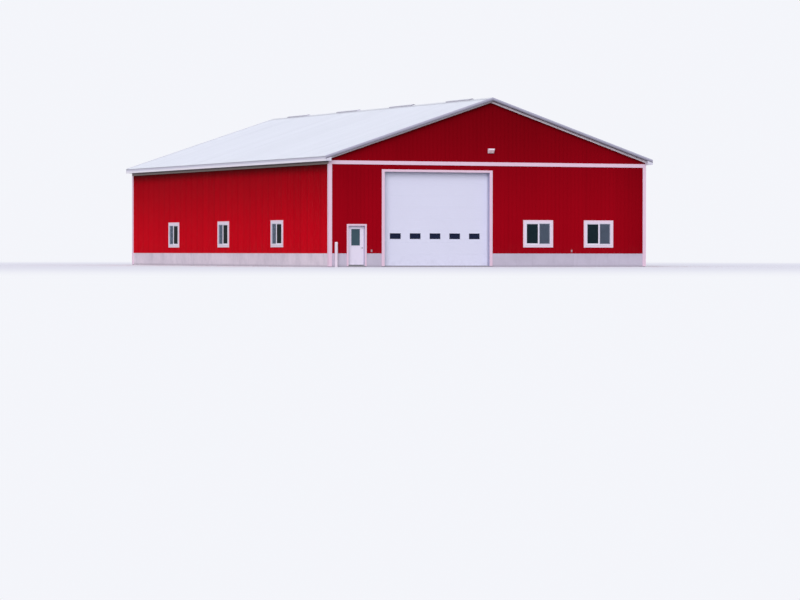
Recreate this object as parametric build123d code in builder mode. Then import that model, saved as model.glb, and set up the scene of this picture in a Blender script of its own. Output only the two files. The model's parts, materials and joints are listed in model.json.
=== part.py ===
from build123d import *
import math
import os

os.makedirs("parts", exist_ok=True)

# Red steel-clad barn on a concrete stem wall. Millimetres, +Z up, front gable facing -Y,
# origin at ground level in the middle of the plan.

# Plan and heights, measured to the outer face of the framing
width = 18288.0
length = 30480.0
wall_thickness = 300.0
foundation_thickness = 300.0
foundation_height = 720.0
floor_height = 50.0
ground_gap = 30.0
ceiling_drop = 45.0
ceiling_thickness = 20.0

# Roof
roof_rise = 101.6
roof_run = 304.8
eave_depth = 245.0
eave_frieze_height = 155.0
eave_overhang = 305.0
rake_overhang = 305.0
roof_depth = 130.0
sheet_thickness = 6.0
sheet_drip = 30.0
rib_pitch = 228.6
rib_height = 19.0
rib_top_width = 18.0
rib_foot_width = 46.0
fascia_thickness = 20.0
soffit_thickness = 12.0
rake_trim_rise = 22.0
ridge_cap_leg = 260.0
ridge_cap_thickness = 5.0
vent_length = 3050.0
vent_count = 4
vent_leg = 150.0
vent_height = 55.0

# Siding and white trim
siding_thickness = 20.0
siding_lap = 15.0
trim_thickness = 36.0
corner_leg = 148.0
belt_height = 190.0
rake_frieze_depth = 100.0

# Sliding windows
window_width = 1524.0
window_height = 1219.0
window_sill_height = 1134.0
window_trim_width = 110.0
window_frame_width = 55.0
window_frame_depth = 90.0
sash_width = 46.0
sash_depth = 32.0
sash_setback = 12.0
glass_thickness = 6.0
door_window_inset = 2823.0
front_window_inset = 2800.0
side_window_pitch = 8030.0

# Overhead door
overhead_width = 6000.0
overhead_height = 4877.0
overhead_spacing = 1101.0
overhead_header = 243.0
section_count = 8
section_gap = 0.5
panel_thickness = 50.0
panel_lap = 48.0
panel_edge_ease = 3.0
jamb_thickness = 20.0
overhead_trim_width = 158.0
overhead_head_trim = 120.0
lite_section = 2
lite_count = 5
lite_width = 625.0
lite_height = 305.0
lite_pitch = 1130.0
lite_lift = 26.0

# Tracks, rollers and hinges on the room side of the overhead door
track_radius = 381.0
track_turn_drop = 110.0
track_run = 4700.0
track_depth = 54.0
track_width = 34.0
track_steel = 3.0
track_lip = 12.0
track_end_gap = 14.0
track_foot_gap = 12.0
wall_angle_leg = 60.0
hanger_leg = 32.0
hanger_places = (0.5, 0.98)
roller_setback = 44.0
roller_play = 1.0
roller_width = 14.0
roller_stem = 6.0
roller_sides = 8
stem_sides = 6
end_hinge_width = 70.0
end_hinge_height = 110.0
bottom_roller_height = 60.0
nose_height = 44.0
nose_tip = 18.0
center_hinge_count = 3
center_hinge_width = 60.0
center_hinge_height = 90.0
center_knuckle_height = 20.0
center_knuckle_depth = 12.0
hinge_steel = 3.0

# Walk door
walk_inset = 1531.0
leaf_width = 914.0
leaf_height = 2032.0
leaf_thickness = 45.0
leaf_gap = 7.0
leaf_setback = 140.0
door_frame_width = 30.0
walk_trim_width = 87.0
threshold_height = 30.0
walk_glass_width = 500.0
walk_glass_height = 870.0
walk_glass_top_margin = 150.0
lever_height = 900.0
lever_inset = 70.0
lever_reach = 55.0
lever_length = 120.0
lever_bar_height = 20.0
lever_tip = 6.0
lever_neck_sides = 12
rose_diameter = 64.0
rose_thickness = 10.0
hinge_height = 100.0
hinge_barrel = 14.0
hinge_plate_width = 30.0
hinge_plate_thickness = 2.5
hinge_margin = 200.0
knuckle_gap = 0.3

# Wall light, outlet covers and bollard
light_width = 340.0
light_height = 240.0
light_depth = 150.0
light_lip_height = 70.0
light_foot_depth = 35.0
light_lift = 470.0
outlet_width = 90.0
outlet_height = 130.0
outlet_depth = 60.0
outlet_left_gap = 279.0
outlet_right_gap = 4798.0
bollard_diameter = 168.0
bollard_height = 1290.0
bollard_cap_height = 55.0
bollard_crown_diameter = 90.0
bollard_inset = 357.0
seat_gap = 0.3

# Derived places
half_width = width / 2
half_length = length / 2
inner_x = half_width - wall_thickness
inner_y = half_length - wall_thickness
foundation_x = half_width - foundation_thickness
foundation_y = half_length - foundation_thickness
siding_bottom = foundation_height - siding_lap
front_plane = Plane.XZ.offset(half_length)

# The walk door is set out from the left corner, and the overhead door from the walk door
walk_center = -half_width + walk_inset
leaf_left = walk_center - leaf_width / 2
leaf_right = walk_center + leaf_width / 2
leaf_bottom = floor_height + threshold_height + leaf_gap
leaf_top = leaf_bottom + leaf_height
frame_left = leaf_left - leaf_gap
frame_right = leaf_right + leaf_gap
frame_head = leaf_top + leaf_gap
door_frame_depth = leaf_setback + leaf_thickness
hinge_x = leaf_left - leaf_gap / 2
hinge_y = -half_length + door_frame_depth + hinge_barrel / 2
rough_left = frame_left - door_frame_width
rough_right = frame_right + door_frame_width
rough_head = frame_head + door_frame_width
overhead_left = frame_right + overhead_spacing
overhead_right = overhead_left + overhead_width
overhead_center = (overhead_left + overhead_right) / 2
overhead_head = floor_height + overhead_height
overhead_rough_left = overhead_left - jamb_thickness
overhead_rough_right = overhead_right + jamb_thickness
overhead_rough_head = overhead_head + jamb_thickness
panel_half_width = overhead_width / 2 + panel_lap
panel_room_y = -inner_y + panel_thickness
roller_y = panel_room_y + roller_setback
track_mouth = panel_half_width + track_end_gap
track_web = track_mouth + track_width
track_turn_height = overhead_head - track_turn_drop
track_run_height = track_turn_height + track_radius
track_run_start = roller_y + track_radius

# Heights up the wall follow the overhead door, and the roof follows the wall
belt_bottom = overhead_head + overhead_head_trim + overhead_header
belt_top = belt_bottom + belt_height
eave_soffit_height = belt_bottom + eave_frieze_height
eave_edge_height = eave_soffit_height + eave_depth
ceiling_height = eave_soffit_height - ceiling_drop
eave_x = half_width + eave_overhang
rake_y = half_length + rake_overhang
roof_pitch = roof_rise / roof_run
slope = math.atan(roof_pitch)
ridge_height = eave_edge_height + roof_pitch * eave_x
sheet_drop = sheet_thickness / math.cos(slope)
rib_rise = rib_height / math.cos(slope)

# Windows keep their distance from the overhead door and the corners
window_middle = window_sill_height + window_height / 2
front_window_places = [overhead_right + door_window_inset, half_width - front_window_inset]
side_window_places = [-side_window_pitch, 0.0, side_window_pitch]


def roof_line(x, drop=0.0):
    """Height of the roof sheet's pan over the place x, less a drop."""
    return ridge_height - roof_pitch * abs(x) - drop


def finish(piece, name):
    """Label a finished piece and write it out."""
    piece.part.label = name
    export_step(piece.part, f"parts/{name}.step")


def block(x_range, y_range, z_range):
    """A plain wall or slab between two corners, in the open part."""
    (x0, x1), (y0, y1), (z0, z1) = x_range, y_range, z_range
    with BuildSketch(Plane.XY.offset(z0)) as footprint:
        with Locations(((x0 + x1) / 2, (y0 + y1) / 2)):
            Rectangle(x1 - x0, y1 - y0)
    extrude(footprint.sketch, amount=z1 - z0)


def rectangle_between(x0, x1, z0, z1, mode=Mode.ADD):
    """A rectangle on an upright sketch, given by its edges."""
    with Locations(((x0 + x1) / 2, (z0 + z1) / 2)):
        Rectangle(x1 - x0, z1 - z0, mode=mode)


def outline(points):
    """A closed face through the points, in the open sketch."""
    with BuildLine() as edge:
        Polyline(*points, close=True)
    make_face(edge.edges())


# Concrete stem walls, cut down to the floor at both doorways
with BuildPart() as foundation_front:
    front_band = (-half_length, -foundation_y)
    block((-foundation_x, rough_left), front_band, (0.0, foundation_height))
    block((rough_right, overhead_rough_left), front_band, (0.0, foundation_height))
    block((overhead_rough_right, foundation_x), front_band, (0.0, foundation_height))
finish(foundation_front, "foundation_front")

with BuildPart() as foundation_rear:
    block((-foundation_x, foundation_x), (foundation_y, half_length), (0.0, foundation_height))
finish(foundation_rear, "foundation_rear")

with BuildPart() as foundation_sides:
    block((-half_width, -foundation_x), (-half_length, half_length), (0.0, foundation_height))
    block((foundation_x, half_width), (-half_length, half_length), (0.0, foundation_height))
finish(foundation_sides, "foundation_sides")

# Floor slab, run out through both doorways
with BuildPart() as floor_slab:
    block((-foundation_x, foundation_x), (-foundation_y, foundation_y), (0.0, floor_height))
    block((rough_left, rough_right), (-half_length, -foundation_y), (0.0, floor_height))
    block((overhead_rough_left, overhead_rough_right), (-half_length, -foundation_y), (0.0, floor_height))
finish(floor_slab, "floor_slab")

# Flat ceiling under the vented attic
with BuildPart() as ceiling:
    block((-inner_x, inner_x), (-inner_y, inner_y), (ceiling_height, ceiling_height + ceiling_thickness))
finish(ceiling, "ceiling")

# Framed walls, split beside and over the doorways
with BuildPart() as front_wall_left:
    block((-inner_x, rough_left), (-half_length, -inner_y), (foundation_height, overhead_rough_head))
finish(front_wall_left, "front_wall_left")

with BuildPart() as front_wall_over_door:
    block((rough_left, rough_right), (-half_length, -inner_y), (rough_head, overhead_rough_head))
finish(front_wall_over_door, "front_wall_over_door")

with BuildPart() as front_wall_middle:
    block(
        (rough_right, overhead_rough_left),
        (-half_length, -inner_y),
        (foundation_height, overhead_rough_head),
    )
finish(front_wall_middle, "front_wall_middle")

with BuildPart() as front_wall_right:
    with BuildSketch(front_plane):
        rectangle_between(overhead_rough_right, inner_x, foundation_height, overhead_rough_head)
        with Locations(*[(x, window_middle) for x in front_window_places]):
            Rectangle(window_width, window_height, mode=Mode.SUBTRACT)
    extrude(amount=-wall_thickness)
finish(front_wall_right, "front_wall_right")

with BuildPart() as front_gable:
    with BuildSketch(front_plane):
        outline([
            (-inner_x, overhead_rough_head),
            (inner_x, overhead_rough_head),
            (inner_x, roof_line(inner_x, roof_depth)),
            (0.0, roof_line(0.0, roof_depth)),
            (-inner_x, roof_line(inner_x, roof_depth)),
        ])
    extrude(amount=-wall_thickness)
finish(front_gable, "front_gable")

with BuildPart() as rear_wall:
    with BuildSketch(Plane.XZ.offset(-half_length)):
        outline([
            (-inner_x, foundation_height),
            (inner_x, foundation_height),
            (inner_x, roof_line(inner_x, roof_depth)),
            (0.0, roof_line(0.0, roof_depth)),
            (-inner_x, roof_line(inner_x, roof_depth)),
        ])
        with Locations(*[(x, window_middle) for x in front_window_places]):
            Rectangle(window_width, window_height, mode=Mode.SUBTRACT)
    extrude(amount=wall_thickness)
finish(rear_wall, "rear_wall")


def side_wall(side):
    """A long wall with its top cut to the roof slope and its window holes."""
    with BuildPart() as wall:
        with BuildSketch(Plane.XZ.offset(half_length)):
            outline([
                (side * half_width, foundation_height),
                (side * half_width, roof_line(half_width, roof_depth)),
                (side * inner_x, roof_line(inner_x, roof_depth)),
                (side * inner_x, foundation_height),
            ])
        extrude(amount=-length)
        with BuildSketch(Plane.YZ.offset(side * half_width)):
            with Locations(*[(y, window_middle) for y in side_window_places]):
                Rectangle(window_width, window_height)
        extrude(amount=-side * wall_thickness, mode=Mode.SUBTRACT)
    return wall


finish(side_wall(-1), "left_wall")
finish(side_wall(1), "right_wall")


# Roof decks and the ribbed steel sheets on them
def roof_deck(side):
    """One slope's purlins and deck, from the ridge to the eave fascia."""
    deck_x = eave_x - fascia_thickness
    deck_y = rake_y - fascia_thickness
    with BuildPart() as deck:
        with BuildSketch(Plane.XZ.offset(deck_y)):
            outline([
                (0.0, roof_line(0.0, sheet_drop)),
                (side * deck_x, roof_line(deck_x, sheet_drop)),
                (side * deck_x, roof_line(deck_x, roof_depth)),
                (0.0, roof_line(0.0, roof_depth)),
            ])
        extrude(amount=-2 * deck_y)
    return deck


def roof_sheet(side):
    """One slope's steel sheet: a flat pan with trapezoid ribs that run up the slope."""
    sheet_y = rake_y - fascia_thickness
    sheet_x = eave_x + sheet_drip
    run = sheet_x / math.cos(slope)
    rib_count = int((2 * sheet_y - rib_foot_width) // rib_pitch) + 1
    eave_end = Plane(
        origin=(side * sheet_x, 0.0, roof_line(sheet_x)),
        x_dir=(0.0, 1.0, 0.0),
        z_dir=(-side * math.cos(slope), 0.0, math.sin(slope)),
    )
    up = 1 if eave_end.y_dir.Z > 0 else -1
    points = [(-sheet_y, -up * sheet_thickness), (-sheet_y, 0.0)]
    for index in range(rib_count):
        middle = (index - (rib_count - 1) / 2) * rib_pitch
        points.append((middle - rib_foot_width / 2, 0.0))
        points.append((middle - rib_top_width / 2, up * rib_height))
        points.append((middle + rib_top_width / 2, up * rib_height))
        points.append((middle + rib_foot_width / 2, 0.0))
    points += [(sheet_y, 0.0), (sheet_y, -up * sheet_thickness)]
    with BuildPart() as sheet:
        with BuildSketch(eave_end):
            outline(points)
        extrude(amount=run + sheet_thickness)
        split(bisect_by=Plane.YZ, keep=Keep.TOP if side > 0 else Keep.BOTTOM)
    return sheet


for side, name in ((-1, "left"), (1, "right")):
    finish(roof_deck(side), f"roof_deck_{name}")
    finish(roof_sheet(side), f"roof_sheet_{name}")


def gable_band(top_drop, bottom_drop, reach):
    """A chevron along both rakes, between two lines below the roof pan."""
    outline([
        (-reach, roof_line(reach, top_drop)),
        (0.0, roof_line(0.0, top_drop)),
        (reach, roof_line(reach, top_drop)),
        (reach, roof_line(reach, bottom_drop)),
        (0.0, roof_line(0.0, bottom_drop)),
        (-reach, roof_line(reach, bottom_drop)),
    ])


# Fascias and soffits
with BuildPart() as rake_fascias:
    for plane_y, direction in ((rake_y, -1), (-rake_y, 1)):
        with BuildSketch(Plane.XZ.offset(plane_y)):
            gable_band(-rake_trim_rise, roof_depth + soffit_thickness, eave_x)
        extrude(amount=direction * fascia_thickness)
finish(rake_fascias, "rake_fascias")

with BuildPart() as eave_fascias:
    for side in (-1, 1):
        fascia_edges = sorted((side * (eave_x - fascia_thickness), side * eave_x))
        fascia_reach = rake_y - fascia_thickness
        fascia_heights = (eave_soffit_height, roof_line(eave_x, sheet_drop))
        block(fascia_edges, (-fascia_reach, fascia_reach), fascia_heights)
finish(eave_fascias, "eave_fascias")

with BuildPart() as eave_soffits:
    for side in (-1, 1):
        soffit_edges = sorted((side * half_width, side * (eave_x - fascia_thickness)))
        soffit_reach = rake_y - fascia_thickness
        soffit_top = eave_soffit_height + soffit_thickness
        block(soffit_edges, (-soffit_reach, soffit_reach), (eave_soffit_height, soffit_top))
finish(eave_soffits, "eave_soffits")

with BuildPart() as rake_soffits:
    for plane_y, direction in ((half_length, 1), (-half_length, -1)):
        with BuildSketch(Plane.XZ.offset(plane_y)):
            gable_band(roof_depth, roof_depth + soffit_thickness, half_width)
        extrude(amount=direction * (rake_overhang - fascia_thickness))
finish(rake_soffits, "rake_soffits")

# Closed ends of the boxed eaves at the four corners
with BuildPart() as eave_box_ends:
    for side in (-1, 1):
        for plane_y, direction in ((rake_y, -1), (-rake_y, 1)):
            with BuildSketch(Plane.XZ.offset(plane_y)):
                outline([
                    (side * half_width, eave_soffit_height),
                    (side * eave_x, eave_soffit_height),
                    (side * eave_x, roof_line(eave_x, roof_depth + soffit_thickness)),
                    (side * half_width, roof_line(half_width, roof_depth + soffit_thickness)),
                ])
            extrude(amount=direction * fascia_thickness)
finish(eave_box_ends, "eave_box_ends")

# Ridge cap and the raised vents on it
cap_drop = -rib_rise
with BuildPart() as ridge_cap:
    with BuildSketch(Plane.XZ.offset(rake_y - fascia_thickness)):
        gable_band(cap_drop - ridge_cap_thickness, cap_drop, ridge_cap_leg)
    extrude(amount=-2 * (rake_y - fascia_thickness))
finish(ridge_cap, "ridge_cap")

vent_drop = cap_drop - ridge_cap_thickness
with BuildPart() as ridge_vents:
    for index in range(vent_count):
        vent_middle = (index - (vent_count - 1) / 2) * length / vent_count
        with BuildSketch(Plane.XZ.offset(vent_length / 2 - vent_middle)):
            gable_band(vent_drop - vent_height, vent_drop, vent_leg)
        extrude(amount=-vent_length)
finish(ridge_vents, "ridge_vents")


# Siding: flat skins in place of the ribbed sheets, cut round every trim
def trim_outer_window(places):
    """Window trim outlines, cut from the open siding sketch."""
    with Locations(*[(place, window_middle) for place in places]):
        Rectangle(
            window_width + 2 * window_trim_width,
            window_height + 2 * window_trim_width,
            mode=Mode.SUBTRACT,
        )


siding_x = half_width - corner_leg
siding_y = half_length - corner_leg
frieze_drop = roof_depth + soffit_thickness + rake_frieze_depth


def gable_siding_outline():
    """The siding of a gable: the part under the belt and the part over it."""
    rectangle_between(-siding_x, siding_x, siding_bottom, belt_bottom)
    outline([
        (-half_width, belt_top),
        (half_width, belt_top),
        (half_width, roof_line(half_width, frieze_drop)),
        (0.0, roof_line(0.0, frieze_drop)),
        (-half_width, roof_line(half_width, frieze_drop)),
    ])


with BuildPart() as front_siding:
    with BuildSketch(front_plane):
        gable_siding_outline()
        trim_outer_window(front_window_places)
        rectangle_between(
            frame_left - walk_trim_width,
            frame_right + walk_trim_width,
            siding_bottom,
            frame_head + walk_trim_width,
            Mode.SUBTRACT,
        )
        rectangle_between(
            overhead_left - overhead_trim_width,
            overhead_right + overhead_trim_width,
            siding_bottom,
            overhead_head + overhead_head_trim,
            Mode.SUBTRACT,
        )
    extrude(amount=siding_thickness)
finish(front_siding, "front_siding")

with BuildPart() as rear_siding:
    with BuildSketch(Plane.XZ.offset(-half_length)):
        gable_siding_outline()
        trim_outer_window(front_window_places)
    extrude(amount=-siding_thickness)
finish(rear_siding, "rear_siding")

with BuildPart() as side_siding:
    for side in (-1, 1):
        with BuildSketch(Plane.YZ.offset(side * half_width)):
            rectangle_between(-siding_y, siding_y, siding_bottom, belt_bottom)
            trim_outer_window(side_window_places)
        extrude(amount=side * siding_thickness)
finish(side_siding, "side_siding")

# White trim boards at the corners, belt, eaves and rakes
with BuildPart() as corner_trims:
    for side in (-1, 1):
        for end in (-1, 1):
            with BuildSketch(Plane.XY.offset(ground_gap)):
                outline([
                    (side * (half_width + trim_thickness), end * (half_length + trim_thickness)),
                    (side * (half_width + trim_thickness), end * (half_length - corner_leg)),
                    (side * half_width, end * (half_length - corner_leg)),
                    (side * half_width, end * half_length),
                    (side * (half_width - corner_leg), end * half_length),
                    (side * (half_width - corner_leg), end * (half_length + trim_thickness)),
                ])
            extrude(amount=belt_bottom - ground_gap)
finish(corner_trims, "corner_trims")

belt_reach = half_width + trim_thickness
with BuildPart() as belt_trims:
    for plane_y, direction in ((half_length, 1), (-half_length, -1)):
        with BuildSketch(Plane.XZ.offset(plane_y)):
            rectangle_between(-belt_reach, belt_reach, belt_bottom, eave_soffit_height)
            rectangle_between(-half_width, half_width, eave_soffit_height, belt_top)
        extrude(amount=direction * trim_thickness)
finish(belt_trims, "belt_trims")

with BuildPart() as eave_friezes:
    for side in (-1, 1):
        frieze_edges = sorted((side * half_width, side * (half_width + trim_thickness)))
        block(frieze_edges, (-half_length, half_length), (belt_bottom, eave_soffit_height))
finish(eave_friezes, "eave_friezes")

with BuildPart() as rake_friezes:
    for plane_y, direction in ((half_length, 1), (-half_length, -1)):
        with BuildSketch(Plane.XZ.offset(plane_y)):
            gable_band(roof_depth + soffit_thickness, frieze_drop, half_width)
            rectangle_between(-half_width, half_width, belt_bottom - belt_height, belt_top, Mode.SUBTRACT)
        extrude(amount=direction * trim_thickness)
finish(rake_friezes, "rake_friezes")


# Windows of all four walls: outside trim, frame, fixed and sliding sash, and glass
window_walls = [
    (front_plane, front_window_places, 1),
    (Plane.XZ.offset(-half_length), front_window_places, -1),
    (Plane.YZ.offset(-half_width), side_window_places, -1),
    (Plane.YZ.offset(half_width), side_window_places, 1),
]
clear_width = window_width - 2 * window_frame_width
clear_height = window_height - 2 * window_frame_width
sash_outer = clear_width / 2 + sash_width / 2
sash_offset = (clear_width - sash_outer) / 2


def frame_ring(places, outer_width, outer_height, border):
    """A rectangular ring at each window, in the open sketch."""
    with Locations(*[(place, window_middle) for place in places]):
        Rectangle(outer_width, outer_height)
        Rectangle(outer_width - 2 * border, outer_height - 2 * border, mode=Mode.SUBTRACT)


with BuildPart() as window_trims:
    for wall_plane, places, outward in window_walls:
        with BuildSketch(wall_plane):
            frame_ring(
                places,
                window_width + 2 * window_trim_width,
                window_height + 2 * window_trim_width,
                window_trim_width,
            )
        extrude(amount=outward * trim_thickness)
finish(window_trims, "window_trims")

with BuildPart() as window_frames:
    for wall_plane, places, outward in window_walls:
        with BuildSketch(wall_plane):
            frame_ring(places, window_width, window_height, window_frame_width)
        extrude(amount=-outward * window_frame_depth)
finish(window_frames, "window_frames")

with BuildPart() as window_sashes:
    for wall_plane, places, outward in window_walls:
        for track, shift in enumerate((-sash_offset, sash_offset)):
            sash_depth_in = sash_setback + track * sash_depth
            with BuildSketch(wall_plane.offset(-outward * sash_depth_in)):
                frame_ring([place + shift for place in places], sash_outer, clear_height, sash_width)
            extrude(amount=-outward * sash_depth)
finish(window_sashes, "window_sashes")

with BuildPart() as window_glass:
    for wall_plane, places, outward in window_walls:
        for track, shift in enumerate((-sash_offset, sash_offset)):
            glass_depth = sash_setback + track * sash_depth + (sash_depth - glass_thickness) / 2
            with BuildSketch(wall_plane.offset(-outward * glass_depth)):
                with Locations(*[(place + shift, window_middle) for place in places]):
                    Rectangle(sash_outer - 2 * sash_width, clear_height - 2 * sash_width)
            extrude(amount=-outward * glass_thickness)
finish(window_glass, "window_glass")

# Overhead door: white jamb lining and trim, sections behind the opening, lites in one section
with BuildPart() as overhead_door_jambs:
    with BuildSketch(front_plane):
        rectangle_between(overhead_rough_left, overhead_rough_right, floor_height, overhead_rough_head)
        rectangle_between(overhead_left, overhead_right, floor_height, overhead_head, Mode.SUBTRACT)
    extrude(amount=-wall_thickness)
finish(overhead_door_jambs, "overhead_door_jambs")

with BuildPart() as overhead_door_trim:
    with BuildSketch(front_plane):
        rectangle_between(
            overhead_left - overhead_trim_width,
            overhead_right + overhead_trim_width,
            floor_height,
            overhead_head + overhead_head_trim,
        )
        rectangle_between(overhead_left, overhead_right, floor_height, overhead_head, Mode.SUBTRACT)
    extrude(amount=trim_thickness)
finish(overhead_door_trim, "overhead_door_trim")

section_height = overhead_height / section_count
door_back_plane = Plane.XZ.offset(inner_y)
lite_middle = floor_height + (lite_section + 0.5) * section_height + lite_lift
lite_spots = [
    (overhead_center + (index - (lite_count - 1) / 2) * lite_pitch, lite_middle)
    for index in range(lite_count)
]
with BuildPart() as overhead_door_sections:
    for index in range(section_count):
        section_foot = floor_height + index * section_height
        with BuildSketch(door_back_plane):
            rectangle_between(
                overhead_left - panel_lap,
                overhead_right + panel_lap,
                section_foot,
                section_foot + section_height - section_gap,
            )
            if index == lite_section:
                with Locations(*lite_spots):
                    Rectangle(lite_width, lite_height, mode=Mode.SUBTRACT)
        extrude(amount=-panel_thickness)
    outside_edges = overhead_door_sections.edges().filter_by(Axis.X).group_by(Axis.Y)[0]
    joint_edges = outside_edges.filter_by(lambda edge: edge.length > overhead_width)
    chamfer(joint_edges, length=panel_edge_ease)
finish(overhead_door_sections, "overhead_door_sections")

with BuildPart() as overhead_door_lites:
    with BuildSketch(door_back_plane.offset(-(panel_thickness - glass_thickness) / 2)):
        with Locations(*lite_spots):
            Rectangle(lite_width, lite_height)
    extrude(amount=-glass_thickness)
finish(overhead_door_lites, "overhead_door_lites")


def track_profile(side, depth_middle):
    """The track's channel with its lips, open towards the door, in the open sketch."""
    outer = overhead_center + side * track_web
    inner = outer - side * track_steel
    mouth = overhead_center + side * track_mouth
    near, far = depth_middle - track_depth / 2, depth_middle + track_depth / 2
    outline([
        (outer, near),
        (mouth, near),
        (mouth, near + track_lip),
        (mouth + side * track_steel, near + track_lip),
        (mouth + side * track_steel, near + track_steel),
        (inner, near + track_steel),
        (inner, far - track_steel),
        (mouth + side * track_steel, far - track_steel),
        (mouth + side * track_steel, far - track_lip),
        (mouth, far - track_lip),
        (mouth, far),
        (outer, far),
    ])


# Each track stands on an angle along the wall, turns back and hangs from the ceiling
with BuildPart() as overhead_door_tracks:
    for side in (-1, 1):
        web_x = overhead_center + side * track_web
        track_foot = floor_height + track_foot_gap
        with BuildSketch(Plane.XY.offset(track_foot)):
            track_profile(side, roller_y)
        extrude(amount=track_turn_height - track_foot)
        with BuildSketch(Plane.XY.offset(track_turn_height)) as turn_profile:
            track_profile(side, roller_y)
        turn_axis = Axis((0.0, track_run_start, track_turn_height), (-1.0, 0.0, 0.0))
        revolve(turn_profile.sketch, axis=turn_axis, revolution_arc=90)
        with BuildSketch(Plane.XZ.offset(-track_run_start)):
            track_profile(side, track_run_height)
        extrude(amount=-track_run)
        angle_heights = (track_foot, track_turn_height)
        block(sorted((web_x, web_x + side * track_steel)), (-inner_y, roller_y), angle_heights)
        block(
            sorted((web_x, web_x + side * wall_angle_leg)),
            (-inner_y, -inner_y + track_steel),
            angle_heights,
        )
        for place in hanger_places:
            hanger_y = track_run_start + place * track_run
            hanger_heights = (track_run_height, ceiling_height)
            block(
                sorted((web_x, web_x + side * track_steel)),
                (hanger_y - hanger_leg, hanger_y),
                hanger_heights,
            )
            block(
                sorted((web_x, web_x + side * hanger_leg)),
                (hanger_y - track_steel, hanger_y),
                hanger_heights,
            )
finish(overhead_door_tracks, "overhead_door_tracks")

# End hinges with their rollers: one at each joint, one at the foot and one at the head
section_joints = [floor_height + index * section_height for index in range(1, section_count)]
roller_heights = [floor_height + bottom_roller_height, *section_joints, track_turn_height]
roller_radius = track_depth / 2 - track_steel - roller_play
with BuildPart() as overhead_door_rollers:
    for side in (-1, 1):
        edge_x = overhead_center + side * panel_half_width
        wheel_x = overhead_center + side * (track_mouth + (track_width - roller_width) / 2)
        for height in roller_heights:
            with BuildSketch(Plane.YZ.offset(edge_x)):
                outline([
                    (panel_room_y, height - end_hinge_height / 2),
                    (panel_room_y + hinge_steel, height - end_hinge_height / 2),
                    (panel_room_y + hinge_steel, height - nose_height / 2),
                    (roller_y + nose_tip / 2, height - nose_tip / 2),
                    (roller_y + nose_tip / 2, height + nose_tip / 2),
                    (panel_room_y + hinge_steel, height + nose_height / 2),
                    (panel_room_y + hinge_steel, height + end_hinge_height / 2),
                    (panel_room_y, height + end_hinge_height / 2),
                ])
            extrude(amount=-side * end_hinge_width)
            with BuildSketch(Plane.YZ.offset(edge_x)):
                with Locations((roller_y, height)):
                    RegularPolygon(roller_stem, stem_sides)
            extrude(amount=wheel_x - edge_x)
            with BuildSketch(Plane.YZ.offset(wheel_x)):
                with Locations((roller_y, height)):
                    RegularPolygon(roller_radius, roller_sides)
            extrude(amount=side * roller_width)
finish(overhead_door_rollers, "overhead_door_rollers")

with BuildPart() as overhead_door_hinges:
    for index in range(center_hinge_count):
        hinge_middle = overhead_left + (index + 1) * overhead_width / (center_hinge_count + 1)
        for height in section_joints:
            with BuildSketch(Plane.YZ.offset(hinge_middle)):
                outline([
                    (panel_room_y, height - center_hinge_height / 2),
                    (panel_room_y + hinge_steel, height - center_hinge_height / 2),
                    (panel_room_y + hinge_steel, height - center_knuckle_height / 2),
                    (panel_room_y + center_knuckle_depth, height - center_knuckle_height / 4),
                    (panel_room_y + center_knuckle_depth, height + center_knuckle_height / 4),
                    (panel_room_y + hinge_steel, height + center_knuckle_height / 2),
                    (panel_room_y + hinge_steel, height + center_hinge_height / 2),
                    (panel_room_y, height + center_hinge_height / 2),
                ])
            extrude(amount=center_hinge_width / 2, both=True)
finish(overhead_door_hinges, "overhead_door_hinges")

# Walk door: frame and threshold in the wall, outside trim, then the swinging leaf
with BuildPart() as walk_door_frame:
    with BuildSketch(front_plane):
        rectangle_between(rough_left, rough_right, floor_height, rough_head)
        rectangle_between(frame_left, frame_right, floor_height, frame_head, Mode.SUBTRACT)
    extrude(amount=-door_frame_depth)
finish(walk_door_frame, "walk_door_frame")

with BuildPart() as walk_door_threshold:
    block((frame_left, frame_right), (-half_length, -half_length + door_frame_depth),
          (floor_height, floor_height + threshold_height))
finish(walk_door_threshold, "walk_door_threshold")

with BuildPart() as walk_door_trim:
    with BuildSketch(front_plane):
        rectangle_between(
            frame_left - walk_trim_width,
            frame_right + walk_trim_width,
            floor_height,
            frame_head + walk_trim_width,
        )
        rectangle_between(frame_left, frame_right, floor_height, frame_head, Mode.SUBTRACT)
    extrude(amount=trim_thickness)
finish(walk_door_trim, "walk_door_trim")

leaf_plane = front_plane.offset(-leaf_setback)
walk_glass_middle = leaf_top - walk_glass_top_margin - walk_glass_height / 2
with BuildPart() as walk_door_leaf:
    with BuildSketch(leaf_plane):
        rectangle_between(leaf_left, leaf_right, leaf_bottom, leaf_top)
        with Locations((walk_center, walk_glass_middle)):
            Rectangle(walk_glass_width, walk_glass_height, mode=Mode.SUBTRACT)
    extrude(amount=-leaf_thickness)
finish(walk_door_leaf, "walk_door_leaf")

with BuildPart() as walk_door_glass:
    with BuildSketch(leaf_plane.offset(-(leaf_thickness - glass_thickness) / 2)):
        with Locations((walk_center, walk_glass_middle)):
            Rectangle(walk_glass_width, walk_glass_height)
    extrude(amount=-glass_thickness)
finish(walk_door_glass, "walk_door_glass")

# Three butt hinges on the room side: the frame carries the end knuckles, the leaf the middle one
hinge_spots = [leaf_bottom + hinge_margin, (leaf_bottom + leaf_top) / 2, leaf_top - hinge_margin]
knuckle = hinge_height / 3
plate_start = hinge_barrel / 2 + knuckle_gap


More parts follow.
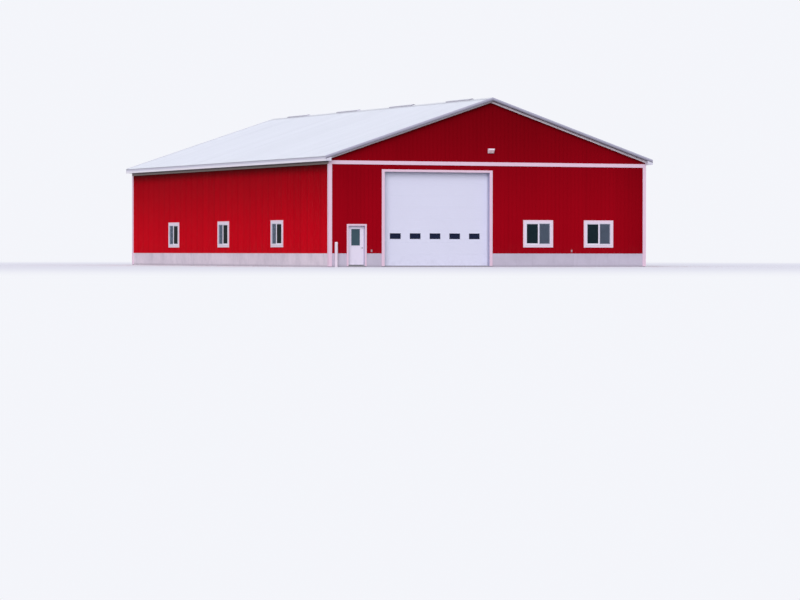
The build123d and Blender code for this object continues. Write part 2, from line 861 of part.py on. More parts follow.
def hinge_half(side, spans):
    """Plates and knuckles on one side of the pin line: the frame's is -1, the leaf's 1."""
    plate_plane = front_plane.offset(-door_frame_depth)
    with BuildPart() as half:
        for middle in hinge_spots:
            plate_edges = sorted((hinge_x + side * plate_start, hinge_x + side * hinge_plate_width))
            with BuildSketch(plate_plane) as plate:
                rectangle_between(*plate_edges, middle - hinge_height / 2, middle + hinge_height / 2)
                for low, high in spans:
                    tongue_edges = sorted((hinge_x, hinge_x + side * plate_start))
                    rectangle_between(*tongue_edges, middle + low, middle + high)
            extrude(plate.sketch, amount=-hinge_plate_thickness)
            for low, high in spans:
                with BuildSketch(Plane.XY.offset(middle + low)) as barrel:
                    with Locations((hinge_x, hinge_y)):
                        Circle(hinge_barrel / 2)
                extrude(barrel.sketch, amount=high - low)
    return half


end_knuckles = [
    (-hinge_height / 2, -knuckle / 2 - knuckle_gap),
    (knuckle / 2 + knuckle_gap, hinge_height / 2),
]
finish(hinge_half(-1, end_knuckles), "walk_door_hinge_plates")
finish(hinge_half(1, [(-knuckle / 2, knuckle / 2)]), "walk_door_hinge_leaves")

lever_x = leaf_right - lever_inset
lever_z = leaf_bottom + lever_height
with BuildPart() as walk_door_levers:
    for face_plane, outward in ((leaf_plane, 1), (leaf_plane.offset(-leaf_thickness), -1)):
        with BuildSketch(face_plane):
            with Locations((lever_x, lever_z)):
                Circle(rose_diameter / 2)
        extrude(amount=outward * rose_thickness)
        with BuildSketch(face_plane):
            with Locations((lever_x, lever_z)):
                RegularPolygon(lever_bar_height / 2, lever_neck_sides)
        extrude(amount=outward * (lever_reach - rose_thickness))
        bar_low, bar_high = lever_z - lever_bar_height / 2, lever_z + lever_bar_height / 2
        with BuildSketch(face_plane.offset(outward * (lever_reach - rose_thickness))):
            outline([
                (lever_x + lever_bar_height / 2, bar_low),
                (lever_x + lever_bar_height / 2, bar_high),
                (lever_x - lever_length + lever_tip, bar_high),
                (lever_x - lever_length, bar_high - lever_tip),
                (lever_x - lever_length, bar_low + lever_tip),
                (lever_x - lever_length + lever_tip, bar_low),
            ])
        extrude(amount=outward * rose_thickness)
finish(walk_door_levers, "walk_door_levers")

# Wall light high on the gable, outlet covers low on the siding, bollard at the left corner
light_bottom = belt_top + light_lift
light_back_y = -half_length - siding_thickness - seat_gap
light_top = light_bottom + light_height
with BuildPart() as wall_light:
    with BuildSketch(Plane.YZ.offset(-light_width / 2)):
        outline([
            (light_back_y, light_bottom),
            (light_back_y - light_foot_depth, light_bottom),
            (light_back_y - light_depth, light_top - light_lip_height),
            (light_back_y - light_depth, light_top),
            (light_back_y, light_top),
        ])
    extrude(amount=light_width)
finish(wall_light, "wall_light")

outlet_left = frame_right + walk_trim_width + outlet_left_gap
outlet_right = overhead_right + outlet_right_gap
with BuildPart() as outlet_covers:
    for outlet_x in (outlet_left, outlet_right):
        with BuildSketch(front_plane.offset(siding_thickness + seat_gap)):
            with Locations((outlet_x, siding_bottom + outlet_height)):
                Rectangle(outlet_width, outlet_height)
        extrude(amount=outlet_depth)
finish(outlet_covers, "outlet_covers")

bollard_center = -half_width + bollard_inset
bollard_radius = bollard_diameter / 2
cap_foot = bollard_height - bollard_cap_height
bollard_y = -half_length - siding_thickness - seat_gap - bollard_radius
with BuildPart() as bollard:
    with BuildSketch(Plane.XZ.offset(-bollard_y)):
        outline([
            (bollard_center, 0.0),
            (bollard_center + bollard_radius, 0.0),
            (bollard_center + bollard_radius, cap_foot),
            (bollard_center + bollard_crown_diameter / 2, bollard_height),
            (bollard_center, bollard_height),
        ])
    revolve(axis=Axis((bollard_center, bollard_y, 0.0), (0.0, 0.0, 1.0)))
finish(bollard, "bollard")
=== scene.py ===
import json
import math

import bmesh
import bpy
from mathutils import Matrix, Vector

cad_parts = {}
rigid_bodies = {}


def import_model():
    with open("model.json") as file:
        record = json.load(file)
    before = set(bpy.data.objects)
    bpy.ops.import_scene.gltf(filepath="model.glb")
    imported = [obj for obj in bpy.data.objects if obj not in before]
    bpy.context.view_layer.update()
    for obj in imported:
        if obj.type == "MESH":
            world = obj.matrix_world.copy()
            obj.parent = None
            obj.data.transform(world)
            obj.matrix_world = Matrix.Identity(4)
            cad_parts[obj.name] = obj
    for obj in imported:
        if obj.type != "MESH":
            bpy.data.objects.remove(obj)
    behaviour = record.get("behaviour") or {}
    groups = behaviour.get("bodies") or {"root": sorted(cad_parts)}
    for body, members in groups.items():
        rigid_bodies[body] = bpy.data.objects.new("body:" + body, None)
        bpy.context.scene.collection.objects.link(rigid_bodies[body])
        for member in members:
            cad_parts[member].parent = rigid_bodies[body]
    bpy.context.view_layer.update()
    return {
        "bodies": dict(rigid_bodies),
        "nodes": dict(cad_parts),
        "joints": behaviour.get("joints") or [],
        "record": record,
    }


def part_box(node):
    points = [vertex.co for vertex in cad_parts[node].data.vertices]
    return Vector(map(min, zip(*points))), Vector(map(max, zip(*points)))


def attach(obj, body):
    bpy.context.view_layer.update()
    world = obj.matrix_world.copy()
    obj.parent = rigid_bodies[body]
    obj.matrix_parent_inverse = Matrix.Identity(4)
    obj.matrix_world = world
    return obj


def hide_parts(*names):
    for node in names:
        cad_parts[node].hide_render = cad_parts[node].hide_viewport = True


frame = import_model()
cadNodes = frame["nodes"]
print("frame loaded:", len(cadNodes), "nodes")


# Shader sockets that can stand in a Python sum
class Wire:
    def __init__(self, finish, socket):
        self.finish = finish
        self.socket = socket

    def maths(self, operation, *others):
        return self.finish.add("ShaderNodeMath", {"operation": operation}, [self, *others])

    def __add__(self, other):
        return self.maths("ADD", other)

    def __sub__(self, other):
        return self.maths("SUBTRACT", other)

    def __rsub__(self, other):
        return self.finish.add("ShaderNodeMath", {"operation": "SUBTRACT"}, [other, self])

    def __mul__(self, other):
        return self.maths("MULTIPLY", other)

    def __truediv__(self, other):
        return self.maths("DIVIDE", other)

    def __gt__(self, other):
        return self.maths("GREATER_THAN", other)

    def __lt__(self, other):
        return self.maths("LESS_THAN", other)

    def __abs__(self):
        return self.maths("ABSOLUTE")

    __radd__, __rmul__ = __add__, __mul__

    def fraction(self):
        return self.maths("FRACT")

    def within(self, low, high):  # a value from 0 to 1 spread over a range
        return self * (high - low) + low


class Finish:  # one material and its nodes
    def __init__(self, name):
        self.material = bpy.data.materials.new(name)
        self.material.use_nodes = True
        self.tree = self.material.node_tree
        self.tree.nodes.clear()
        self.place = self.add("ShaderNodeTexCoord", out="Object")

    def add(self, kind, settings=None, sockets=None, out=0):
        node = self.tree.nodes.new(kind)
        for key, value in (settings or {}).items():
            setattr(node, key, value)
        pairs = sockets.items() if isinstance(sockets, dict) else enumerate(sockets or [])
        for key, value in pairs:
            if isinstance(value, Wire):
                self.tree.links.new(value.socket, node.inputs[key])
            else:
                node.inputs[key].default_value = value
        return Wire(self, node.outputs[out])

    def along(self, axis):  # one of the object's own coordinates, in metres
        return self.add("ShaderNodeSeparateXYZ", None, [self.place], axis)

    def facing(self, axis):  # one part of the surface's direction
        normal = self.add("ShaderNodeTexCoord", out="Normal")
        return self.add("ShaderNodeSeparateXYZ", None, [normal], axis)

    def sideways(self):  # 1 on faces that look along X
        return abs(self.facing(0)) > 0.5

    def alongWall(self):  # Y on faces that look along X, and X on the others
        sideways = self.sideways()
        return self.along(1) * sideways + self.along(0) * (1 - sideways)

    def noise(self, scale, detail=3.0, roughness=0.5):  # three scales stretch the pattern along the axes
        at = self.place
        if isinstance(scale, tuple):
            at = self.add("ShaderNodeMapping", None, {"Vector": self.place, "Scale": scale}, "Vector")
            scale = 1.0
        sockets = {"Vector": at, "Scale": scale, "Detail": detail, "Roughness": roughness}
        return self.add("ShaderNodeTexNoise", None, sockets, "Fac")

    def perStep(self, value):  # one random value for each whole step of a value
        step = {"W": value.maths("FLOOR")}
        return self.add("ShaderNodeTexWhiteNoise", {"noise_dimensions": "1D"}, step, "Value")

    def between(self, value, low, high, first=0.0, last=1.0):
        sockets = {"Value": value, "From Min": low, "From Max": high, "To Min": first, "To Max": last}
        return self.add("ShaderNodeMapRange", {"interpolation_type": "SMOOTHSTEP"}, sockets, "Result")

    def onSides(self, ends, sides):  # one value in windows of the end walls, another in the side walls'
        return self.between(abs(self.along(0)), wallX - 0.6, wallX - 0.5, ends, sides)

    def blend(self, mask, first, second, kind="MIX"):
        settings = {"data_type": "RGBA", "blend_type": kind}
        return self.add("ShaderNodeMix", settings, {0: mask, 6: first, 7: second}, 2)

    def toned(self, colour, tone):  # a colour made lighter or darker by a value around 1
        grey = self.add("ShaderNodeCombineColor", None, [tone, tone, tone])
        return self.blend(1.0, colour, grey, "MULTIPLY")

    def done(self, look, colour, pattern, relief=None, **others):  # the pattern sets tones, gloss and relief
        if "tones" in look:
            colour = self.toned(colour, pattern.within(*look["tones"]))
        rough = look["rough"]
        if isinstance(rough, tuple):
            rough = pattern.within(*rough)
        sockets = {"Base Color": colour, "Roughness": rough, "Specular IOR Level": look["specular"]} | others
        if "bump" in look:
            depth, strength = look["bump"]
            bump = {"Height": relief or pattern, "Distance": depth, "Strength": strength}
            sockets["Normal"] = self.add("ShaderNodeBump", None, bump, "Normal")
        self.close(self.add("ShaderNodeBsdfPrincipled", None, sockets, "BSDF"))
        return self.material

    def close(self, skin):
        last = self.tree.nodes.new("ShaderNodeOutputMaterial")
        self.tree.links.new(skin.socket, last.inputs["Surface"])


def paint(red, green, blue):  # a screen colour, 0 to 255, as the light it stands for
    parts = [part / 255 for part in (red, green, blue)]
    return tuple(p / 12.92 if p <= 0.04045 else ((p + 0.055) / 1.055) ** 2.4 for p in parts) + (1.0,)


# Sizes shared by several pieces, in metres, read from the frame where it has them
hair = 1e-4  # slack when corners are picked by their place
margin = 0.05  # how far a cutter reaches past what it cuts
roofPitch = 4 / 12
ribPitch = 0.2286
sheetWidth = 4 * ribPitch
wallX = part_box("right_wall")[1].x
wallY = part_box("rear_wall")[1].y
sidingLow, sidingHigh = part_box("front_siding")
sideLow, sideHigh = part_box("side_siding")
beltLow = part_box("eave_friezes")[0].z
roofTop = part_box("roof_deck_left")[1].z
windowLow, windowHigh = (corner.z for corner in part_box("window_trims"))
eaveLow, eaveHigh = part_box("eave_fascias")
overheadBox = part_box("overhead_door_trim")
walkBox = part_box("walk_door_trim")


# Finishes. A noise is scale, detail and roughness; "rough" is the range of gloss over the pattern;
# "bump" is depth and strength; edges are where a stain starts and is full; shades end with two tones.
# Painted shade in the siding: a darker band beside each sheet lap, a fade darker towards the top, and
# edgeShade under the roof's edges
sidingPaint = {  # sheets of slightly different tone, shaded laps, rain streaks and dust at the foot
    "sheetTones": (0.975, 1.025), "lapShadeWidth": 0.35,
    "streaks": ((9.0, 9.0, 0.35), 4.0, 0.6), "streakTones": 0.08,
    "dust": paint(160, 50, 52), "dustLevels": (1.5, 0.7), "dustCover": 0.10,
    "dustClouds": (2.3, 5.0), "dustEdges": (0.35, 0.75),
    "waves": ((3.0, 3.0, 0.9), 2.0, 0.5), "rough": (0.44, 0.56), "bump": (0.004, 0.5), "specular": 0.01,
}
# Painted shade: fade darkens the wall towards the top, and edgeShade darkens it just under the roof's edge
frontPaint = {
    "red": paint(159, 4, 22), "fade": (2.0, 9.0, 1.04, 0.58), "corner": (7.3, 9.0, 1.0, 0.82),
    "edge": sidingHigh.z, "pitch": roofPitch, "edgeShade": (-0.1, 0.2, 0.3, 1.0), "lapShadeTone": 0.98,
}
# Painted light: the side walls' red is lighter than the front's, as more light falls on them
sideLitPaint = {
    "red": paint(191, 4, 24), "fade": (0.9, 6.4, 1.19, 0.62), "corner": (16.0, 17.0, 1.0, 1.0),
    "edge": beltLow, "pitch": 0.0, "edgeShade": (-0.1, 0.62, 0.24, 1.0), "lapShadeTone": 0.9,
}


def redSteel(name, axis, start, shades):
    look = sidingPaint | shades
    finish = Finish(name)
    place, height = finish.along(axis), finish.along(2)
    sheet = (place - start) / sheetWidth
    # painted shade: each sheet is darker beside its lap
    lap = finish.between(sheet.fraction(), 0.0, look["lapShadeWidth"], look["lapShadeTone"], 1.0)
    streaks = finish.noise(*look["streaks"])
    tone = finish.perStep(sheet).within(*look["sheetTones"]) + (streaks - 0.5) * look["streakTones"]
    underEdge = look["edge"] - abs(finish.along(0)) * look["pitch"] - height
    # painted shade: the fade darkens the walls towards the top, edgeShade just under the eaves and rakes
    tone = tone * lap * finish.between(height, *look["fade"]) * finish.between(underEdge, *look["edgeShade"])
    tone = tone * finish.between(place, *look["corner"])
    patches = finish.between(finish.noise(*look["dustClouds"]), *look["dustEdges"])
    dust = finish.between(height, *look["dustLevels"]) * patches * look["dustCover"]
    colour = finish.blend(dust, finish.toned(look["red"], tone), look["dust"])
    return finish.done(look, colour, streaks, finish.noise(*look["waves"]))


roofPaint = {  # streaks run down the slopes
    "white": paint(217, 220, 225), "shade": paint(194, 199, 206), "sheetTones": (0.982, 1.017),
    "streaks": ((0.3, 7.0, 0.3), 4.0, 0.6), "filmEdges": (0.45, 0.8), "filmCover": 0.22,
    "waves": (1.4, 2.0), "rough": (0.31, 0.46), "bump": (0.004, 0.4), "specular": 0.3,
}


def whiteRoof():
    look = roofPaint
    finish = Finish("roofWhite")
    streaks = finish.noise(*look["streaks"])
    film = finish.between(streaks, *look["filmEdges"]) * look["filmCover"]
    sheetTone = finish.perStep(finish.along(1) / sheetWidth).within(*look["sheetTones"])
    colour = finish.toned(finish.blend(film, look["white"], look["shade"]), sheetTone)
    return finish.done(look, colour, streaks, finish.noise(*look["waves"]))


trimPaint = {
    "shade": paint(206, 180, 194), "patches": (1.1, 4.0, 0.55),
    "grime": ((14.0, 14.0, 1.2), 5.0, 0.6), "grimeEdges": (0.5, 0.85), "grimeCover": 0.25,
    "tones": (0.97, 1.03), "rough": (0.35, 0.45), "bump": (0.003, 0.4), "specular": 0.25,
}


def whiteTrim(name, white):
    look = trimPaint
    finish = Finish(name)
    grime = finish.between(finish.noise(*look["grime"]), *look["grimeEdges"]) * look["grimeCover"]
    return finish.done(look, finish.blend(grime, white, look["shade"]), finish.noise(*look["patches"]))


bandPaint = {
    "streaks": ((10.0, 10.0, 2.0), 5.0, 0.6),
    "tones": (0.95, 1.05), "rough": (0.35, 0.45), "bump": (0.002, 0.4), "specular": 0.25,
}


# Painted shade: the upper colour is the shade under an overhang, darker than the lower
def shadedBandTrim(name, upper, lower, level, softness):  # changes its colour at one level, as under the eaves
    look = bandPaint
    finish = Finish(name)
    share = finish.between(finish.along(2), level + softness, level - softness)
    return finish.done(look, finish.blend(share, upper, lower), finish.noise(*look["streaks"]))


# Painted shade: the rake trim is darker towards its lower edge
rakePaint = {  # greyer than the other trim, and darker towards its lower edge
    "top": paint(190, 188, 205), "foot": paint(112, 107, 120), "depth": 0.142,
    "streaks": ((8.0, 8.0, 2.0), 4.0, 0.6),
    "tones": (0.94, 1.06), "rough": (0.38, 0.53), "bump": (0.002, 0.4), "specular": 0.3,
}


def rakeSteel():
    look = rakePaint
    finish = Finish("rakeGreyShaded")
    drop = roofTop - abs(finish.along(0)) * roofPitch - finish.along(2)
    colour = finish.blend(finish.between(drop, 0.0, look["depth"]), look["top"], look["foot"])
    return finish.done(look, colour, finish.noise(*look["streaks"]))


concreteLook = {  # form joints, holes and damp near the ground
    "dark": paint(174, 166, 180), "darkCover": 0.35,
    "clouds": (0.9, 6.0, 0.6), "cloudEdges": (0.35, 0.75),
    "streaks": ((7.0, 7.0, 0.8), 5.0, 0.65), "streakEdges": (0.5, 0.8),
    "damp": paint(140, 134, 142), "dampCloud": 0.12, "dampLevels": (0.22, 0.05), "dampCover": 0.45,
    "form": 2.44, "formTones": (0.97, 1.03), "joint": 0.006, "jointShade": 0.25, "jointDepth": 0.8,
    "holes": 14.0, "holeEdges": (0.10, 0.16), "holeTones": (0.94, 1.0), "holeDepth": 0.6,
    "grain": (60.0, 6.0, 0.7), "grainDepth": 0.25,
    "rough": (0.83, 0.93), "bump": (0.004, 0.7), "specular": 0.25,
}


def castConcrete(name, ends, sides):  # its colours on the end walls and on the side walls
    look = concreteLook
    finish = Finish(name)
    clouds, grain = finish.noise(*look["clouds"]), finish.noise(*look["grain"])
    # painted light: faces along the side walls take the lighter colour
    colour = finish.blend(finish.sideways(), ends, sides)
    for stain, edges in ((clouds, look["cloudEdges"]), (finish.noise(*look["streaks"]), look["streakEdges"])):
        colour = finish.blend(finish.between(stain, *edges) * look["darkCover"], colour, look["dark"])
    damp = finish.between(finish.along(2) + clouds * look["dampCloud"], *look["dampLevels"])
    colour = finish.blend(damp * look["dampCover"], colour, look["damp"])
    form = finish.alongWall() / look["form"]
    joint = form.fraction() * look["form"] < look["joint"]
    cells = {"Vector": finish.place, "Scale": look["holes"]}
    holes = finish.add("ShaderNodeTexVoronoi", {"feature": "F1"}, cells, "Distance")
    whole = finish.between(holes, *look["holeEdges"])
    relief = whole * look["holeDepth"] + grain * look["grainDepth"] - joint * look["jointDepth"]
    tone = finish.perStep(form).within(*look["formTones"]) * whole.within(*look["holeTones"])
    return finish.done(look, finish.toned(colour, tone * (1 - joint * look["jointShade"])), grain, relief)


liningLook = {
    "white": paint(214, 214, 212), "ribEdges": (0.40, 0.47), "dust": (0.8, 5.0),
    "tones": (0.93, 1.03), "rough": (0.45, 0.55), "bump": (0.012, 0.8), "specular": 0.3,
}


def liningSteel():
    look = liningLook
    finish = Finish("roomLining")
    rib = finish.between(abs((finish.alongWall() / ribPitch).fraction() - 0.5), *look["ribEdges"])
    return finish.done(look, look["white"], finish.noise(*look["dust"]), rib)


deckLook = {  # sheathing seen at the roof's edge
    "wood": paint(150, 122, 92), "dark": paint(104, 80, 58), "board": 0.14, "boardTones": (0.9, 1.1),
    "grain": ((2.0, 30.0, 30.0), 6.0, 0.6), "grainEdges": (0.3, 0.75),
    "rough": 0.75, "bump": (0.002, 0.5), "specular": 0.5,
}


def deckWood():
    look = deckLook
    finish = Finish("deckWood")
    boards = finish.perStep(finish.along(1) / look["board"]).within(*look["boardTones"])
    grain = finish.noise(*look["grain"])
    colour = finish.blend(finish.between(grain, *look["grainEdges"]), look["wood"], look["dark"])
    return finish.done(look, finish.toned(colour, boards), grain)


doorLook = {  # embossed steel, splashed near the ground
    "shade": paint(204, 204, 220), "clouds": (0.7, 4.0), "cloudTones": (0.975, 1.025),
    "splash": (5.0, 5.0), "splashEdges": (0.4, 0.8), "splashLevels": (0.75, 0.05), "splashCover": 0.35,
    "rough": (0.37, 0.47), "bump": (0.0006, 0.6), "specular": 0.25,
}


def doorSteel(name, white, pebbleScale):
    look = doorLook
    finish = Finish(name)
    clouds = finish.noise(*look["clouds"])
    patches = finish.between(finish.noise(*look["splash"]), *look["splashEdges"])
    splash = finish.between(finish.along(2), *look["splashLevels"]) * patches * look["splashCover"]
    colour = finish.blend(splash, finish.toned(white, clouds.within(*look["cloudTones"])), look["shade"])
    return finish.done(look, colour, clouds, finish.noise(pebbleScale, 3.0, 0.6))


vinylLook = {
    "white": paint(238, 230, 242), "clouds": (3.0, 4.0), "waves": (40.0, 3.0),
    "tones": (0.975, 1.025), "rough": (0.36, 0.46), "bump": (0.0003, 0.5), "specular": 0.4,
}


def whiteVinyl():
    look = vinylLook
    finish = Finish("whiteVinyl")
    return finish.done(look, look["white"], finish.noise(*look["clouds"]), finish.noise(*look["waves"]))


# Painted shade: panes in the side walls are darker, by sidePaintedLight
glassLook = {  # tinted, so that a dark room shows through
    "film": (1.6, 4.0), "filmTones": (0.85, 1.15), "waves": (0.9, 2.0), "sidePaintedLight": 0.4, "sideCover": 0.9,
    "rough": (0.04, 0.09), "bump": (0.002, 0.3), "specular": 0.012,
}


def tintedGlass(name, tint, cover):
    look = glassLook
    finish = Finish(name)
    finish.material.surface_render_method = "DITHERED"
    film = finish.noise(*look["film"])
    tone = film.within(*look["filmTones"]) * finish.onSides(1.0, look["sidePaintedLight"])
    alpha = finish.onSides(cover, look["sideCover"])
    return finish.done(look, finish.toned(tint, tone), film, finish.noise(*look["waves"]), Alpha=alpha)


# Painted light: screens in the side walls are lighter, by sidePaintedLight
screenLook = {  # insect screen over the half of a window that slides
    "mesh": paint(112, 124, 142), "dust": (5.0, 4.0), "dustTones": (0.9, 1.1), "sidePaintedLight": 1.5,
    "cover": (0.45, 0.55), "rough": 0.9, "specular": 0.0,
}


def insectScreen():
    look = screenLook
    finish = Finish("insectScreen")
    finish.material.surface_render_method = "DITHERED"
    dust = finish.noise(*look["dust"])
    tone = dust.within(*look["dustTones"]) * finish.onSides(1.0, look["sidePaintedLight"])
    return finish.done(look, finish.toned(look["mesh"], tone), dust, Alpha=dust.within(*look["cover"]))


metalLook = {
    "brush": ((300.0, 300.0, 20.0), 3.0, 0.6),
    "tones": (0.94, 1.06), "rough": (0.27, 0.42), "bump": (0.0001, 0.3), "specular": 0.5,
}


def satinMetal(name, grey, metallic):
    finish = Finish(name)
    return finish.done(metalLook, grey, finish.noise(*metalLook["brush"]), Metallic=metallic)


scuffLook = {  # paint and plastic with worn marks
    "marks": (9.0, 6.0, 0.65), "markEdges": (0.62, 0.72), "markCover": 0.6,
    "clouds": (2.0, 4.0), "cloudTones": (0.96, 1.04), "markRough": 0.2,
    "bump": (0.0004, 0.5), "specular": 0.35,
}


def scuffed(name, colour, scuff, roughness):
    look = scuffLook | {"rough": (roughness, roughness + scuffLook["markRough"])}
    finish = Finish(name)
    marks = finish.between(finish.noise(*look["marks"]), *look["markEdges"])
    worn = finish.blend(marks * look["markCover"], colour, scuff)
    clouds = finish.noise(*look["clouds"]).within(*look["cloudTones"])
    return finish.done(look, finish.toned(worn, clouds), marks)


soffitLook = {  # grooves with rows of slots
    "slot": paint(60, 58, 62), "slotPitch": 0.012, "slotFrom": 0.55, "slotCover": 0.8, "slotDepth": 0.3,
    "groove": 0.1, "grooveEdges": (0.44, 0.49), "rows": 4, "rowHalf": 0.18, "underside": (-0.5, -0.9),
    "rough": (0.45, 0.55), "bump": (0.008, 0.8), "specular": 0.5,
}


def soffitSteel(name, white):
    look = soffitLook
    finish = Finish(name)
    run = finish.along(1) / look["groove"]
    groove = finish.between(abs(run.fraction() - 0.5), *look["grooveEdges"])
    slots = (finish.along(0) / look["slotPitch"]).fraction() > look["slotFrom"]
    rows = abs((run * look["rows"]).fraction() - 0.5) < look["rowHalf"]
    vented = slots * rows * finish.between(finish.facing(2), *look["underside"])
    colour = finish.blend(vented * look["slotCover"], white, look["slot"])
    return finish.done(look, colour, finish.noise(4.0), groove * -1.0 - vented * look["slotDepth"])


# Painted shade: the sides are greyer than the lids, partly for their slots and partly as shade on the upright
# faces
ventLook = {  # white lids over slotted sides
    "lid": paint(222, 224, 230), "side": paint(194, 190, 202), "slot": paint(112, 110, 118),
    "pitch": 0.025, "slotFrom": 0.6, "slotCover": 0.6, "upright": (0.8, 0.5), "dust": (3.0, 4.0),
    "tones": (0.94, 1.04), "rough": (0.45, 0.55), "bump": (0.004, 0.6), "specular": 0.5,
}


def ventSteel():
    look = ventLook
    finish = Finish("ventSteel")
    upright = finish.between(abs(finish.facing(2)), *look["upright"])
    slots = (finish.along(1) / look["pitch"]).fraction() > look["slotFrom"]
    sides = finish.blend(slots * look["slotCover"], look["side"], look["slot"])
    colour = finish.blend(upright, look["lid"], sides)
    return finish.done(look, colour, finish.noise(*look["dust"]), slots * upright * -1.0)


rubberLook = {
    "dust": (12.0, 4.0), "tones": (0.8, 1.2), "rough": (0.7, 0.8), "bump": (0.0005, 0.5), "specular": 0.2,
}


def rubber(name, colour):
    finish = Finish(name)
    return finish.done(rubberLook, colour, finish.noise(*rubberLook["dust"]))


# Painted shade under the eaves: the fascia's upper band beneath the drip edge, and the frieze dark grey
# throughout, darkest at its top
eaveBands = {"fold": 0.45, "foldSoft": 0.01, "friezeDrop": 0.06, "friezeSoft": 0.03}
eaveFoldLevel = eaveLow.z + eaveBands["fold"] * (eaveHigh.z - eaveLow.z)
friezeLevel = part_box("eave_friezes")[1].z - eaveBands["friezeDrop"]
eaveDripShade = (paint(221, 218, 232), paint(250, 246, 253), eaveFoldLevel, eaveBands["foldSoft"])
friezeShade = (paint(46, 42, 44), paint(125, 104, 96), friezeLevel, eaveBands["friezeSoft"])
finishes = {
    # Painted light: the foundation's side walls are a lighter concrete than its end walls, as they are more
    # lit
    "concrete": castConcrete("stemConcrete", paint(206, 198, 213), paint(242, 228, 238)),
    "slab": castConcrete("slabConcrete", paint(168, 164, 168), paint(168, 164, 168)),
    "lining": liningSteel(),
    "deck": deckWood(),
    "roof": whiteRoof(),
    "trim": whiteTrim("trimWhite", paint(239, 208, 225)),
    "fascia": whiteTrim("fasciaWhite", paint(222, 220, 232)),
    # Painted shade: the eave fascia is darker above its drip edge
    "eave": shadedBandTrim("eaveWhite", *eaveDripShade),
    # Painted shade: the white frieze is coloured as it looks in the eave's shade
    "eaveFriezeShaded": shadedBandTrim("eaveFriezeShaded", *friezeShade),
    # Painted shade: the door jambs and the walk door's frame are grey, as shade in their recesses
    "jamb": whiteTrim("jambWhiteShaded", paint(168, 168, 194)),
    "walkFrame": whiteTrim("walkFrameWhiteShaded", paint(192, 185, 205)),
    "windowTrim": whiteTrim("windowTrimWhite", paint(241, 219, 233)),
    "rake": rakeSteel(),
    "soffit": soffitSteel("soffitVented", paint(206, 200, 212)),
    # Painted shade: the rake soffits are a darker grey than the eave soffits
    "rakeSoffit": soffitSteel("rakeSoffitVentedShaded", paint(146, 146, 156)),
    # Painted light: the rake friezes are whiter than the other trim, to make up for the rake's shade
    "rakeFrieze": whiteTrim("rakeFriezeWhiteLit", paint(252, 240, 246)),
    "vent": ventSteel(),
    "vinyl": whiteVinyl(),
    "glass": tintedGlass("windowGlass", paint(34, 51, 57), 0.7),
    "doorGlass": tintedGlass("walkDoorGlass", paint(74, 97, 106), 0.9),
    "lite": tintedGlass("liteGlass", paint(38, 44, 70), 0.8),
    "door": doorSteel("overheadDoorSteel", paint(231, 231, 247), 260.0),
    "walkDoor": doorSteel("walkDoorSteel", paint(240, 232, 246), 120.0),
    "metal": satinMetal("satinSteel", paint(176, 176, 178), 1.0),
    "threshold": satinMetal("thresholdAluminium", paint(172, 172, 176), 0.35),
    "galvanised": satinMetal("galvanisedSteel", paint(150, 154, 160), 0.85),
    "screen": insectScreen(),
    "rubber": rubber("sweepRubber", paint(52, 52, 56)),
    "seal": rubber("sealVinyl", paint(190, 189, 202)),
    "bollard": scuffed("bollardPaint", paint(240, 224, 236), paint(150, 142, 140), 0.4),
    "housing": scuffed("lightHousing", paint(254, 234, 246), paint(196, 188, 196), 0.45),
    "lens": scuffed("lightLens", paint(228, 198, 202), paint(190, 176, 178), 0.25),
    "plastic": scuffed("outletPlastic", paint(178, 142, 151), paint(120, 110, 112), 0.5),
}

nodeFinish = {  # which nodes of the CAD wear which finish
    "concrete": "foundation_front foundation_rear foundation_sides",
    "slab": "floor_slab",
    "lining": "ceiling front_gable front_wall_left front_wall_middle front_wall_over_door "
              "front_wall_right left_wall rear_wall right_wall",
    "deck": "roof_deck_left roof_deck_right",
    "roof": "roof_sheet_left roof_sheet_right ridge_cap",
    "vent": "ridge_vents",
    "trim": "belt_trims corner_trims overhead_door_trim walk_door_trim",
    "windowTrim": "window_trims",
    "fascia": "eave_box_ends",
    "eave": "eave_fascias",
    "eaveFriezeShaded": "eave_friezes",
    "jamb": "overhead_door_jambs",
    "rake": "rake_fascias",
    "soffit": "eave_soffits",
    "rakeSoffit": "rake_soffits",
    "rakeFrieze": "rake_friezes",
    "vinyl": "window_frames window_sashes",
    "walkFrame": "walk_door_frame",
    "glass": "window_glass",
    "doorGlass": "walk_door_glass",
    "lite": "overhead_door_lites",
    "door": "overhead_door_sections",
    "walkDoor": "walk_door_leaf",
    "metal": "walk_door_levers walk_door_hinge_plates walk_door_hinge_leaves",
    "threshold": "walk_door_threshold",
    "galvanised": "overhead_door_tracks overhead_door_rollers overhead_door_hinges",
    "bollard": "bollard",
    "housing": "wall_light",
    "plastic": "outlet_covers",
}


def wear(piece, material):
    piece.data.materials.clear()
    piece.data.materials.append(material)
    for face in piece.data.polygons:
        face.material_index = 0


for finishName, nodeNames in nodeFinish.items():
    for nodeName in nodeNames.split():
        wear(cadNodes[nodeName], finishes[finishName])
print("finishes made:", len(finishes))


# Hand tools: a primitive is placed, picked over and shaped in edit mode
def freshStart():
    if bpy.context.object and bpy.context.object.mode != "OBJECT":
        bpy.ops.object.mode_set(mode="OBJECT")
    bpy.ops.object.select_all(action="DESELECT")


def choose(piece):
    freshStart()
    piece.select_set(True)
    bpy.context.view_layer.objects.active = piece


def settle(piece):  # puts the piece's place into its mesh
    choose(piece)
    bpy.ops.object.transform_apply(location=True, rotation=True, scale=True)


def named(name, scale=(1, 1, 1)):  # the primitive just added, settled at its size
    piece = bpy.context.object
    piece.name = name
    piece.scale = scale
    settle(piece)
    return piece


def startBlock(name, low, high):
    freshStart()
    low, high = Vector(low), Vector(high)
    bpy.ops.mesh.primitive_cube_add(size=1, location=(low + high) / 2)
    return named(name, high - low)


